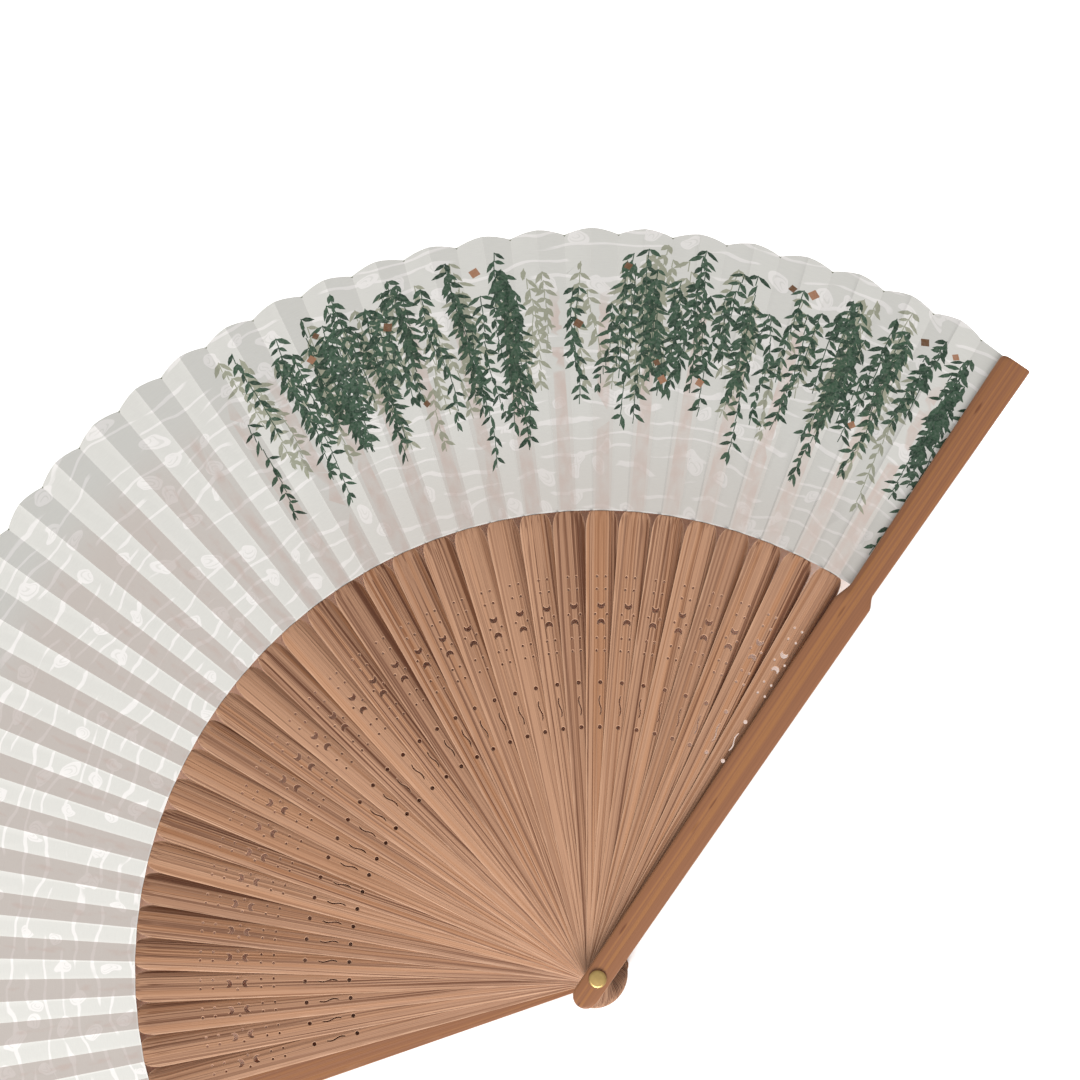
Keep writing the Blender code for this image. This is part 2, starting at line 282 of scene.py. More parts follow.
def add_lamp(name, direction, distance, size, power):
    """A square lamp panel that faces the middle of the view."""
    lamp = bpy.data.objects.new(name, bpy.data.lights.new(name, "AREA"))
    lamp.data.shape = "SQUARE"
    lamp.data.size = size
    lamp.data.energy = power
    lamp.location = view_middle + direction.normalized() * distance
    lamp.rotation_euler = direction.to_track_quat("Z", "Y").to_euler()
    bpy.context.collection.objects.link(lamp)


from_below = -photo_up - 0.1 * photo_right + Vector((0, 0, 0.85))
add_lamp("key panel", from_below, distance=1.6, size=0.8, power=30)
world = bpy.data.worlds.new("studio")
bpy.context.scene.world = world
world.use_nodes = True
world.node_tree.nodes["Background"].inputs["Color"].default_value = (1, 1, 1, 1)
world.node_tree.nodes["Background"].inputs["Strength"].default_value = SURROUNDING
bpy.context.scene.view_settings.view_transform = "Standard"
print("lamps: 1 panel and the surrounding")

# %% [markdown]
# ## Bamboo
#
# Bamboo is a bundle of straight fibres. A planed strip shows them as long dark lines of
# uneven strength, with hair-fine streaks between them, and each strip is cut from another
# place, so no two look alike. An image would repeat. A noise that is stretched along the
# strip never does. It reads an attribute called grain, which holds each point's place on
# the straight strip in millimetres, so the fibres bend and turn with the stick. The
# strips lie side by side in that grain, each as far from the next as a constant says.
# The ribs are also painted darker along their right side: painted shade where the bowed
# strip turns away from the light and lies below its neighbour's raised edge. The Shade
# input says how much.

# %% The fibres of bamboo, as the start of a shader group
STRIP_GAP = 40.0
grain_group, given, ends = start_group(
    "bamboo grain", "ShaderNodeTree",
    {"Grain": "Vector", "Light": "Color", "Dark": "Color", "Warm": "Color",
     "Lines": "Float", "Variety": "Float", "Knots": "Float", "Shade": "Float"},
    {"Color": "Color", "Roughness": "Float", "Height": "Float"})
across, along, deep = split(given["Grain"])
strip = (across / STRIP_GAP + 0.5).math("FLOOR")
dice = add_node(grain_group, "ShaderNodeTexWhiteNoise", {"W": strip}, noise_dimensions="1D")
strength, tone, warmth = split(out(dice, "Color"))
fibre = across + noise(combine(across * 0.12, along * 0.02, deep)) * 0.9


def streaks(scale, detail, low, high, shift=0.0):
    """Streaks from a noise that has this scale across, along and into the strip."""
    x, y, z = scale
    return ease(noise(combine(fibre * x + shift, along * y, deep * z), detail=detail), low, high)


bands = streaks((0.42, 0.002, 0.0), 1.0, 0.36, 0.64)
lines = streaks((1.9, 0.004, 2.0), 1.0, 0.54, 0.59)
ridges = streaks((2.3, 0.006, 2.0), 0.5, 0.56, 0.62, shift=30.0)
fine = streaks((4.2, 0.012, 4.0), 2.0, 0.47, 0.66)
hairs = noise(combine(fibre * 14.0, along * 0.15, deep * 6.0), detail=2.0)
warm_bands = streaks((0.8, 0.004, 0.0), 1.0, 0.48, 0.62, shift=50.0) * (warmth * 0.5 + 0.1)
print("kinds of streaks: 6")

# %% Knots, shade and the group's results
knot_cells = add_node(grain_group, "ShaderNodeTexVoronoi", {
    "Vector": combine(across * 0.2, along * 0.04, 0.0), "Scale": 1.0}, voronoi_dimensions="2D")
picked, _, _ = split(out(knot_cells, "Color"))
knots = (1.0 - ease(out(knot_cells, "Distance"), 0.04, 0.1)) * ease(picked, 0.55, 0.6) * given["Knots"]
amount = given["Lines"] * (strength * 0.9 + 0.5)
pattern = lines * 0.56 - ridges * 0.22 + fine * 0.28 + (hairs - 0.5) * 0.36 + (bands - 0.5) * 0.2
half_strip = along * 0.0122 + 2.9
# Painted shade: a darker band along the right side of each strip.
painted_shade_band = ease((across - strip * STRIP_GAP) / half_strip, 0.35, 0.9)
shade = 0.2 + pattern * amount + painted_shade_band * given["Shade"] * (tone * 0.8 + 0.6)
shade = (shade + (tone - 0.5) * given["Variety"] + knots * 0.7).clamped()
wood = mix(shade, given["Light"], given["Dark"])
feed(grain_group, ends["Color"], mix(warm_bands, wood, given["Warm"]))
feed(grain_group, ends["Roughness"], 0.5 + lines * 0.14 + fine * 0.06)
feed(grain_group, ends["Height"], 1.0 - lines * 0.6 + ridges * 0.4 - fine * 0.3 - hairs * 0.25)
print("nodes in the grain group:", len(grain_group.nodes))

# %% [markdown]
# ## Wear on the edges, lit rims and dark holes
#
# Hands and the neighbouring sticks rub the corners of each stick, which makes them paler
# and smoother. An attribute called edge is 1 on the corners and 0 a little way in. The
# group breaks it up with noise, because wear is never even. The walls of the piercings
# are painted dark, partly the scorch of the hot tool that cut them and partly painted
# shade inside each hole, and an attribute called cut marks these. The bevelled rim round
# each hole is painted pale, a painted highlight where its slope catches the light, and is
# marked as rim.

# %% Edge wear as a shader group
wear_group, given, ends = start_group(
    "worn edges", "ShaderNodeTree",
    {"Edge": "Float", "Grain": "Vector", "Amount": "Float"}, {"Mask": "Float"})
across, along, deep = split(given["Grain"])
patches = noise(combine(across * 0.9, along * 0.12, deep), detail=3.0) - 0.5
feed(wear_group, ends["Mask"], ease(given["Edge"] + patches * 0.9, 0.45, 0.95) * given["Amount"])
print("nodes in the wear group:", len(wear_group.nodes))

# %% The two bamboo finishes
# The colour for wear also paints the highlight on the holes' bevelled rims, and the colour for burns also
# paints the shade inside the holes.
RIB_COLOURS = {
    "Light": (0.45, 0.245, 0.145, 1), "Dark": (0.12, 0.042, 0.018, 1), "Warm": (0.38, 0.17, 0.075, 1),
    "WornAndLit": (0.60, 0.36, 0.23, 1), "BurntAndShaded": (0.08, 0.028, 0.013, 1),
}
GUARD_COLOURS = {
    "Light": (0.27, 0.115, 0.052, 1), "Dark": (0.15, 0.052, 0.022, 1), "Warm": (0.34, 0.145, 0.045, 1),
    "WornAndLit": (0.36, 0.18, 0.09, 1), "BurntAndShaded": (0.10, 0.04, 0.018, 1),
}
GRAIN_DEPTH = 0.07 * MM


def attribute(tree, name, output="Vector"):
    return out(add_node(tree, "ShaderNodeAttribute", attribute_name=name), output)


def use_group(tree, group, values):
    node = add_node(tree, "ShaderNodeGroup", node_tree=group)
    for label, value in values.items():
        feed(tree, node.inputs[label], value)
    return node


def bump(tree, shader, height, distance, strength):
    """Lets a height roughen the surface."""
    inputs = {"Height": height, "Distance": distance, "Strength": strength}
    feed(tree, shader.inputs["Normal"], out(add_node(tree, "ShaderNodeBump", inputs)))


def finish_bamboo(name, colours, relief, roughness_shift, **grain_values):
    """One bamboo finish from the two groups, with its own colours and strength."""
    material, tree, shader = start_material(name)
    grain = attribute(tree, "grain")
    grain_values.update({label: colours[label] for label in ("Light", "Dark", "Warm")})
    wood = use_group(tree, grain_group, {"Grain": grain, **grain_values})
    edge = attribute(tree, "edge", "Fac")
    worn = out(use_group(tree, wear_group, {"Edge": edge, "Grain": grain, "Amount": 0.6}), "Mask")
    colour = mix(worn, out(wood, "Color"), colours["WornAndLit"])
    # Painted highlight: the bevelled rims of the holes take the pale colour.
    colour = mix(attribute(tree, "rim", "Fac") * 0.8, colour, colours["WornAndLit"])
    # Painted dark: the walls of the holes, scorch from cutting together with painted shade inside each hole.
    colour = mix(attribute(tree, "cut", "Fac") * 0.85, colour, colours["BurntAndShaded"])
    feed(tree, shader.inputs["Base Color"], colour)
    feed(tree, shader.inputs["Roughness"], out(wood, "Roughness") + roughness_shift - worn * 0.1)
    bump(tree, shader, out(wood, "Height"), GRAIN_DEPTH, relief)
    shader.inputs["Specular IOR Level"].default_value = 0.35
    return material


rib_bamboo = finish_bamboo(
    "rib bamboo", RIB_COLOURS, 1.0, 0.0, Lines=0.9, Variety=0.35, Knots=0.0, Shade=0.45)
guard_bamboo = finish_bamboo(
    "guard bamboo", GUARD_COLOURS, 0.3, -0.1, Lines=0.45, Variety=0.0, Knots=1.0, Shade=0.0)
print("bamboo finishes:", rib_bamboo.name, guard_bamboo.name)

# %% [markdown]
# ## A blank for the ribs
#
# Each inner rib is a thin strip, split from the round wall of a bamboo culm, so it bows:
# rounded in front and slightly hollow behind. It has a half-round tail, and a rounded
# shoulder where the cloth begins. From there a much thinner tongue runs on behind the
# cloth. A loft makes it: one ring of points for each place along the strip, joined to
# the next ring. The strip is straight for now, because holes are easier to cut that way.


# %% Loft a body
def skin(bm, rows):
    """Closes rows of points to a body. Gives the faces between each row and the next."""
    levels = []
    for low, high in zip(rows, rows[1:]):
        quads = zip(low, low[1:] + low[:1], high[1:] + high[:1], high)
        levels.append([bm.faces.new(quad) for quad in quads])
    bm.faces.new(rows[0][::-1])
    bm.faces.new(rows[-1])
    bmesh.ops.recalc_face_normals(bm, faces=bm.faces[:])
    return levels


def loft(rings, edge):
    """A closed body through rings of points. edge tells how near a corner each point lies."""
    bm = bmesh.new()
    layer = bm.verts.layers.float.new("edge")
    rows = [[bm.verts.new(point) for point in ring] for ring in rings]
    for row in rows:
        for vert, value in zip(row, edge):
            vert[layer] = value
    skin(bm, rows)
    return bm


def to_mesh(name, bm):
    mesh = bpy.data.meshes.new(name)
    bm.to_mesh(mesh)
    bm.free()
    return mesh


def steps(start, end, longest):
    """Evenly spaced places from start to end, no further apart than longest."""
    count = max(1, math.ceil(abs(end - start) / longest))
    return [start + (end - start) * i / count for i in range(count + 1)]


print("places for a 10 mm strip:", len(steps(0, 10, 3)))

# %% The cut through a rib
FRONT_SHARES = (1, 0.93, 0.6, 0.3, 0, -0.3, -0.6, -0.93, -1)
BACK_SHARES = (-0.95, -0.5, 0, 0.5, 0.95)
RIB_CORNERS = (0.5, 0, 0, 0, 0.5, 1, 1, 0.6, 0, 0, 0, 0, 0, 0.6, 1, 1)
PIVOT_HALF, SLAT_HALF = 2.9 * MM, 4.35 * MM
SLAT_EDGE, SLAT_CROWN, SLAT_BOW = 0.22 * MM, 0.17 * MM, 0.35 * MM
TIP_HALF, TIP_END = 2.6 * MM, 125.1 * MM
SHOULDER = TIP_END - 5.2 * MM


def twist_share(y):
    """How much of its full twist and bow a stick has at y."""
    return min(1.0, max(0.0, (y - TWIST_START) / (SLAT_END - TWIST_START)))


def slat_half(y):
    return PIVOT_HALF + (SLAT_HALF - PIVOT_HALF) * max(0, y) / SHOULDER


def front_height(share, edge, crown, bow):
    """The height of the front face, at a share of the half width from the middle."""
    return edge * 0.8 + (edge * 0.2 + crown + bow) * (1 - share**2)


def rib_ring(y, half, edge, crown, bow):
    """A cut through the strip: hollow behind, rounded in front, softened at its edges."""
    back = [(s * half, y, bow * (1 - s**2)) for s in BACK_SHARES]
    front = [(s * half, y, front_height(s, edge, crown, bow)) for s in FRONT_SHARES]
    return back + [(half, y, edge * 0.3)] + front + [(-half, y, edge * 0.3)]


print("points in each ring:", len(rib_ring(0, 1, 1, 1, 1)))

# %% Make the rib blank
TAIL_MIDDLE = -5.6 * MM
NECK_HALF, END_HALF = 1.9 * MM, 1.35 * MM
TONGUE_EDGE, TONGUE_CROWN = 0.13 * MM, 0.02 * MM
TONGUE_START, TONGUE_END = 125.12 * MM, 184 * MM
TONGUE_TIP = ((184.7 * MM, 1.0 * MM), (185 * MM, 0.5 * MM))


def slat_ring(y, half, bow):
    return rib_ring(y, half, SLAT_EDGE, SLAT_CROWN, bow)


def rib_rings():
    rings = []
    for turn in (12, 30, 50, 70):
        a = math.radians(turn)
        rings.append(slat_ring(TAIL_MIDDLE - PIVOT_HALF * math.cos(a), PIVOT_HALF * math.sin(a), 0))
    for y in steps(TAIL_MIDDLE, 0, 4 * MM)[:-1] + steps(0, SHOULDER, 3 * MM)[:-1]:
        rings.append(slat_ring(y, slat_half(y), SLAT_BOW * twist_share(y)))
    for turn in range(0, 91, 10):
        a = math.radians(turn)
        half = TIP_HALF + (SLAT_HALF - TIP_HALF) * math.cos(a)
        bow = SLAT_BOW * (half / SLAT_HALF) ** 2
        rings.append(slat_ring(SHOULDER + (TIP_END - SHOULDER) * math.sin(a), half, bow))
    for y in steps(TONGUE_START, TONGUE_END, 4 * MM):
        half = NECK_HALF + (END_HALF - NECK_HALF) * (y - TONGUE_START) / (TONGUE_END - TONGUE_START)
        rings.append(rib_ring(y, half, TONGUE_EDGE, TONGUE_CROWN, 0))
    return rings + [rib_ring(y, half, TONGUE_EDGE, 0, 0) for y, half in TONGUE_TIP]


rib_blank = to_mesh("rib_blank", loft(rib_rings(), RIB_CORNERS))
print("rib blank:", len(rib_blank.polygons), "faces")

# %% [markdown]
# ## The piercings of a rib
#
# The maker drills and saws the same ornament through every rib: two crescents back to
# back, rows of pinholes, two larger holes and a waved slit. Geometry Nodes sets one
# cutter on each place and takes them all out of the blank. The places are the vertices
# of a small mesh on the rib's front face, and each one says which cutter it needs, and
# how it is turned. Each cutter widens where it leaves the front, which breaks the edge
# of the hole as a turn of a file would. That small bevel is what catches the light.


# %% A cutter for a hole
CUT_DEPTH, BEVEL, NO_BEVEL = 1.5 * MM, 0.13 * MM, 0.02 * MM


def widened(outline, by):
    """An outline whose points have moved outwards, each square to its two sides."""
    moved = []
    for before, point, after in zip(outline[-1:] + outline[:-1], outline, outline[1:] + outline[:1]):
        corner = [Vector(p) for p in (before, point, after)]
        first, second = (corner[1] - corner[0]).normalized(), (corner[2] - corner[1]).normalized()
        outward = Vector((first.y + second.y, -first.x - second.x)).normalized()
        stretch = 1 / max(0.6, outward.dot(Vector((first.y, -first.x))))
        moved.append((point[0] + outward.x * by * stretch, point[1] + outward.y * by * stretch))
    return moved


def cutter(name, outline, depth, bevel):
    """A cutter for a hole with straight walls and a bevel where it leaves the surface at 0."""
    wide = widened(outline, 2 * bevel)
    bm = bmesh.new()
    walls, rim = bm.faces.layers.float.new("cut"), bm.faces.layers.float.new("rim")
    heights = [(outline, -depth), (outline, -bevel), (wide, bevel), (wide, depth)]
    levels = skin(bm, [[bm.verts.new((x, y, z)) for x, y in points] for points, z in heights])
    for faces, layer in zip(levels, (walls, rim)):
        for face in faces:
            face[layer] = 1.0
    return bpy.data.objects.new(name, to_mesh(name, bm))


print("widest bevel:", BEVEL / MM, "mm")


# %% The outlines of the holes
def ring_outline(radius, sides):
    angles = [math.tau * i / sides for i in range(sides)]
    return [(radius * math.cos(a), radius * math.sin(a)) for a in angles]


def bow_outline(half_chord, depth, count):
    """An arc that hangs below a level chord."""
    radius = (half_chord**2 + depth**2) / (2 * depth)
    swing = 2 * math.atan2(depth, half_chord)
    angles = [-math.pi / 2 - swing + 2 * swing * i / count for i in range(count + 1)]
    return [(radius * math.cos(a), radius - depth + radius * math.sin(a)) for a in angles]


def crescent_outline():
    """A deep bow, closed by a shallow one between the same two horns."""
    half, depth, hollow, middle = 0.82 * MM, 1.7 * MM, 0.62 * MM, 0.85 * MM
    outer, inner = bow_outline(half, depth, 14), bow_outline(half, hollow, 8)
    return [(x, y + middle) for x, y in outer + inner[-2:0:-1]]


def wave_outline():
    """A slit whose middle swings once to each side, with narrow ends."""
    length, swing, count = 5.3 * MM, 0.3 * MM, 12
    left, right = [], []
    for i in range(count + 1):
        share = i / count
        x, y = swing * math.sin(2 * math.pi * share), length * (share - 0.5)
        half = (0.17 if 0 < i < count else 0.09) * MM
        left.append((x - half, y))
        right.append((x + half, y))
    return right + left[::-1]


EYE_RADIUS, EYE_SIDES = 1.15 * MM, 16
cutters = bpy.data.collections.new("cutters")
for name, outline, bevel in (("a_eye", ring_outline(EYE_RADIUS, EYE_SIDES), NO_BEVEL),
                             ("b_hole", ring_outline(0.55 * MM, 12), BEVEL),
                             ("c_pinhole", ring_outline(0.32 * MM, 8), BEVEL),
                             ("d_crescent", crescent_outline(), BEVEL),
                             ("e_wave", wave_outline(), BEVEL * 0.7)):
    cutters.objects.link(cutter(name, outline, CUT_DEPTH, bevel))

# %% Where each cutter goes
EYE, HOLE, PINHOLE, CRESCENT, WAVE = range(5)
places = [(0, 0, EYE, 0), (0, 67.1, HOLE, 0), (0, 79.1, HOLE, 0), (0, 72.95, WAVE, 0),
          (0, 99.7, CRESCENT, 0), (0, 95.3, CRESCENT, math.pi)]
for y, aside in ((107.5, 1.17), (104.1, 1.17), (97.4, 1.6), (91.0, 1.1), (87.6, 1.1)):
    places += [(aside, y, PINHOLE, 0), (-aside, y, PINHOLE, 0)]


def on_front(x, y):
    """A point of the slat's front face, from its place in millimetres."""
    x, y = x * MM, y * MM
    return x, y, front_height(x / slat_half(y), SLAT_EDGE, SLAT_CROWN, SLAT_BOW * twist_share(y))


def mark_places(name, spots, shapes, turns):
    """A mesh with one vertex for each hole, which says what is cut there."""
    mesh = bpy.data.meshes.new(name)
    mesh.from_pydata(spots, [], [])
    for label, values in (("shape", shapes), ("turn", turns)):
        layer = mesh.attributes.new(label, "FLOAT", "POINT")
        layer.data.foreach_set("value", [float(v) for v in values])
    return bpy.data.objects.new(name, mesh)


rib_places = mark_places("rib_places", [on_front(x, y) for x, y, _, _ in places],
                         [shape for _, _, shape, _ in places], [turn for *_, turn in places])
print("piercings in each rib:", len(places))


# %% Ways to write and run a Geometry Nodes tree
def start_tree(name, inputs):
    """A Geometry Nodes tree. Each takes a geometry, its own inputs and a material."""
    inputs = {"Geometry": "Geometry", **inputs, "Material": "Material"}
    return start_group(name, "GeometryNodeTree", inputs, {"Result": "Geometry"})


def end_tree(tree, geometry, material, ends):
    """Makes the instances real, gives all of it the material, and puts it out."""
    real = out(add_node(tree, "GeometryNodeRealizeInstances", {"Geometry": geometry}))
    inputs = {"Geometry": real, "Material": material}
    feed(tree, ends["Result"], out(add_node(tree, "GeometryNodeSetMaterial", inputs)))


def named(tree, name):
    node = add_node(tree, "GeometryNodeInputNamedAttribute", {"Name": name}, data_type="FLOAT")
    return out(node, "Attribute")


def store(tree, geometry, name, value, data_type="FLOAT"):
    inputs = {"Geometry": geometry, "Name": name, "Value": value}
    return out(add_node(tree, "GeometryNodeStoreNamedAttribute", inputs, data_type=data_type))


def run_tree(tree, mesh, values):
    """The mesh that a Geometry Nodes tree makes from a mesh and its named inputs."""
    host = bpy.data.objects.new("host", mesh)
    bpy.context.collection.objects.link(host)
    modifier = host.modifiers.new("tree", "NODES")
    modifier.node_group = tree
    for name, value in values.items():
        modifier[tree.interface.items_tree[name].identifier] = value
    depsgraph = bpy.context.evaluated_depsgraph_get()
    made = bpy.data.meshes.new_from_object(
        host.evaluated_get(depsgraph), preserve_all_data_layers=True, depsgraph=depsgraph)
    bpy.data.objects.remove(host)
    return made


print("every tree ends in: Realize Instances, Set Material")

# %% The tree that cuts the holes
pierce, given, ends = start_tree("pierce", {"Cutters": "Collection", "Places": "Object"})
shapes = add_node(pierce, "GeometryNodeCollectionInfo", {
    "Collection": given["Cutters"], "Separate Children": True, "Reset Children": True})
spots = add_node(pierce, "GeometryNodeObjectInfo", {"Object": given["Places"]})
set_out = add_node(pierce, "GeometryNodeInstanceOnPoints", {
    "Points": out(spots, "Geometry"), "Instance": out(shapes), "Pick Instance": True,
    "Instance Index": named(pierce, "shape"), "Rotation": combine(0.0, 0.0, named(pierce, "turn"))})
solid = add_node(pierce, "GeometryNodeRealizeInstances", {"Geometry": out(set_out)})
cut = add_node(pierce, "GeometryNodeMeshBoolean", {"Mesh 1": given["Geometry"], "Mesh 2": out(solid)},
               operation="DIFFERENCE", solver="EXACT")
end_tree(pierce, out(cut), given["Material"], ends)

pierced_rib = run_tree(pierce, rib_blank, {
    "Cutters": cutters, "Places": rib_places, "Material": rib_bamboo})
marks = [label for label in ("edge", "cut", "rim") if label in pierced_rib.attributes]
print("pierced rib:", len(pierced_rib.polygons), "faces, marks:", marks)

# %% [markdown]
# ## Thirty-three ribs in their places
#
# All ribs are the same strip. What differs is where it was cut from, how high it lies in
# the stack and how far it is turned. One small tree does that for any rib: it writes the
# grain attribute while the strip is still straight, twists the strip evenly from the
# rivet to its shoulder, lifts it and turns it about the rivet. The tree runs once for
# each rib, because every rib moves on its own.

# %% The tree that sets a rib in the fan
set_rib, given, ends = start_tree("set a rib", dict.fromkeys(
    ("Angle", "Height", "Twist", "Twist Start", "Twist End", "Strip"), "Float"))
x, y, z = split(out(add_node(set_rib, "GeometryNodeInputPosition")))
grain = combine(x * TO_MM + given["Strip"], y * TO_MM, z * TO_MM)
marked = store(set_rib, given["Geometry"], "grain", grain, "FLOAT_VECTOR")
ramp = ((y - given["Twist Start"]) / (given["Twist End"] - given["Twist Start"])).clamped()
twisted = add_node(set_rib, "GeometryNodeSetPosition", {
    "Geometry": marked, "Offset": combine(0.0, 0.0, x * ramp * given["Twist"] * -1)})
turned = add_node(set_rib, "GeometryNodeTransform", {
    "Geometry": out(twisted), "Translation": combine(0.0, 0.0, given["Height"]),
    "Rotation": combine(0.0, 0.0, given["Angle"])})
end_tree(set_rib, out(turned), given["Material"], ends)
print("nodes that set a rib:", len(set_rib.nodes))


# %% Make the ribs
def smooth(mesh, sharpest):
    """Smooth shading, with a hard edge where two faces meet at more than this angle."""
    mesh.shade_smooth()
    mesh.set_sharp_from_angle(angle=math.radians(sharpest))


def place_piece(name, mesh, body, slot, *nodes):
    """A finished piece: smooth where it is round, riding on its body, for its CAD nodes."""
    smooth(mesh, 35)
    piece = bpy.data.objects.new(name, mesh)
    bpy.context.collection.objects.link(piece)
    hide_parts(*nodes)
    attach(piece, body)


for stick in range(1, REAR):
    node = f"rib_{stick:02d}"
    rib = run_tree(set_rib, pierced_rib, {
        "Angle": stick_angle(stick), "Height": TOP_RIB_Z - (stick - 1) * STACK_STEP,
        "Twist": TWIST, "Twist Start": TWIST_START, "Twist End": SLAT_END,
        "Strip": STRIP_GAP * stick, "Material": rib_bamboo})
    place_piece(f"bamboo_{node}", rib, node, "rib_bamboo", node)
print("ribs:", RIBS)

# %% [markdown]
# ## The guards
#
# The two outer sticks are thick bamboo, wide along the open ribs, drawn in where the
# cloth begins and wider again at the tip. Their outer face is softly crowned, its edges
# are rounded by sanding, and along the cloth the left edge is planed to a slope. The same
# loft makes both: the rear guard is the front one turned over about its length.

# %% The width of a guard
GUARD_TAIL, GUARD_NECK, GUARD_TIP = -5.5 * MM, 125.9 * MM, 199 * MM
GUARD_HALVES = (3.5 * MM, 4.8 * MM, 3.3 * MM, 4.4 * MM)


def smooth_step(t):
    t = min(1.0, max(0.0, t))
    return t * t * (3 - 2 * t)


def guard_half(y, shoulder, tip_round):
    """Half a guard's width at y, on the side that has this shoulder length and tip."""
    pivot, slat, neck, tip = GUARD_HALVES
    if y < GUARD_TAIL:
        return math.sqrt(max(1e-8, pivot**2 - (y - GUARD_TAIL) ** 2))
    if y < GUARD_NECK - shoulder:
        return pivot + (slat - pivot) * max(0, y) / (GUARD_NECK - shoulder)
    if y < GUARD_NECK:
        return slat + (neck - slat) * smooth_step(1 - (GUARD_NECK - y) / shoulder)
    half = neck + (tip - neck) * (y - GUARD_NECK) / (GUARD_TIP - GUARD_NECK)
    short = y - (GUARD_TIP - tip_round)
    return half if short < 0 else half - tip_round + math.sqrt(max(0, tip_round**2 - short**2))


print("half a guard's width at its neck:", GUARD_HALVES[2] / MM, "mm")

# %% The cut through a guard
GUARD_THICK, GUARD_CROWN = 2.4 * MM, 0.12 * MM
EDGE_ROUND, INNER_ROUND = 0.6 * MM, 0.15 * MM
FACET_START, FACET_RUN, FACET_DEPTH, RIDGE_SHARE = 119 * MM, 6 * MM, 0.7 * MM, 0.27
GUARD_CORNERS = (0.6, 0, 0.6, 1, 1, 0.9, 0.6, 0, 0, 0, 0, 0, 0, 0.6, 0.9, 1, 1)


def guard_ring(y):
    """A cut through a guard, its inner face at 0 and its outer face at its thickness."""
    left, right = guard_half(y, 6.5 * MM, 1.5 * MM), guard_half(y, 4.0 * MM, 0.5 * MM)
    facet = smooth_step((y - FACET_START) / FACET_RUN) * FACET_DEPTH
    ridge = -left + RIDGE_SHARE * (left + right)
    inner = [(-left + INNER_ROUND, 0), (0, 0), (right - INNER_ROUND, 0), (right, INNER_ROUND)]
    edge_in = [0.0, 0.05 * MM, 0.18 * MM, EDGE_ROUND]
    xs = [right - d for d in edge_in] + [right * 0.6, right * 0.25]
    xs += [ridge + 0.12 * MM, ridge - 0.12 * MM] + [-left + d for d in reversed(edge_in)]
    outer = []
    for x in xs:
        inset = EDGE_ROUND - min(EDGE_ROUND, right - x, x + left)
        rounding = EDGE_ROUND - math.sqrt(max(0, EDGE_ROUND**2 - inset**2))
        slope = facet * max(0, ridge - x) / (ridge + left)
        outer.append((x, GUARD_THICK - rounding - slope - GUARD_CROWN * (x / left) ** 2))
    return [(x, y, z) for x, z in inner + outer + [(-left, INNER_ROUND)]]


print("points in each ring:", len(guard_ring(0)))

# %% A whole guard
GUARD_OUTSET, GUARD_RELIEF = 0.95 * MM, SLAT_HALF * TWIST + 0.15 * MM
GUARD_ROWS = [y * MM for y in (-8.9, -8.6, -8, -7)] + steps(GUARD_TAIL, 0, 3 * MM)
for start, end, longest in ((0, 115, 4), (115, 127, 0.6), (127, 197.2, 4)):
    GUARD_ROWS += steps(start * MM, end * MM, longest * MM)[1:]
GUARD_ROWS += [y * MM for y in (197.9, 198.4, 198.75, 199)]


def make_guard_mesh(name, outward, base_z, angle):
    """A guard that bows away from the ribs, which need the room for their twist."""
    bm = loft([guard_ring(y) for y in GUARD_ROWS], GUARD_CORNERS)
    layer = bm.verts.layers.float_vector.new("grain")
    for vert in bm.verts:
        x, y, height = vert.co
        vert[layer] = (x / MM - STRIP_GAP * outward, y / MM, height / MM)
        share = height / GUARD_THICK
        bowed = height + (GUARD_RELIEF + (GUARD_OUTSET - GUARD_RELIEF) * share) * twist_share(y)
        vert.co.z = base_z + (bowed if outward > 0 else GUARD_THICK - bowed)
    bmesh.ops.recalc_face_normals(bm, faces=bm.faces[:])
    bmesh.ops.rotate(bm, verts=bm.verts[:], cent=(0, 0, 0), matrix=Matrix.Rotation(angle, 3, "Z"))
    return to_mesh(name, bm)


print("rings in a guard:", len(GUARD_ROWS))

# %% Drill the guards and put them in place
DRILL_DEPTH = 50 * MM
REAR_GUARD_Z, FRONT_GUARD_Z = 0.95 * MM, 23.35 * MM
drills = bpy.data.collections.new("drills")
drills.objects.link(cutter("drill", ring_outline(EYE_RADIUS, EYE_SIDES), DRILL_DEPTH, NO_BEVEL))
drill_place = mark_places("drill_place", [(0, 0, 0)], [0], [0])
for node, body, outward, base_z, stick in (("front_guard", "front_guard", 1, FRONT_GUARD_Z, 0),
                                           ("rear_guard", "root", -1, REAR_GUARD_Z, REAR)):
    whole = make_guard_mesh(node, outward, base_z, stick_angle(stick))
    bored = run_tree(pierce, whole, {
        "Cutters": drills, "Places": drill_place, "Material": guard_bamboo})
    place_piece(f"bamboo_{node}", bored, body, "guard_bamboo", node)
print("guards: 2")

# %% [markdown]
# ## The rivet
#
# A brass pin runs through all sticks. It has a low rounded head in front, and a cap is
# pressed on its end behind. Both are round, so each is a profile spun about the rivet's
# axis. The brass is slightly uneven and scratched, as handled brass is.

# %% Brass
BRIGHT, TARNISHED = (0.62, 0.44, 0.17, 1), (0.36, 0.23, 0.09, 1)
brass, tree, shader = start_material("rivet brass")
place = out(add_node(tree, "ShaderNodeTexCoord"), "Object")
x, y, z = split(place)
scratches = noise(combine(x * 9000, y * 900, z * 900), detail=3.0)
stains = noise(place, scale=900.0, detail=3.0)
feed(tree, shader.inputs["Base Color"], mix(stains, BRIGHT, TARNISHED))
feed(tree, shader.inputs["Roughness"], 0.22 + scratches * 0.2 + stains * 0.15)
shader.inputs["Metallic"].default_value = 1.0
bump(tree, shader, scratches, 0.01 * MM, 0.4)
print("nodes in the brass:", len(tree.nodes))


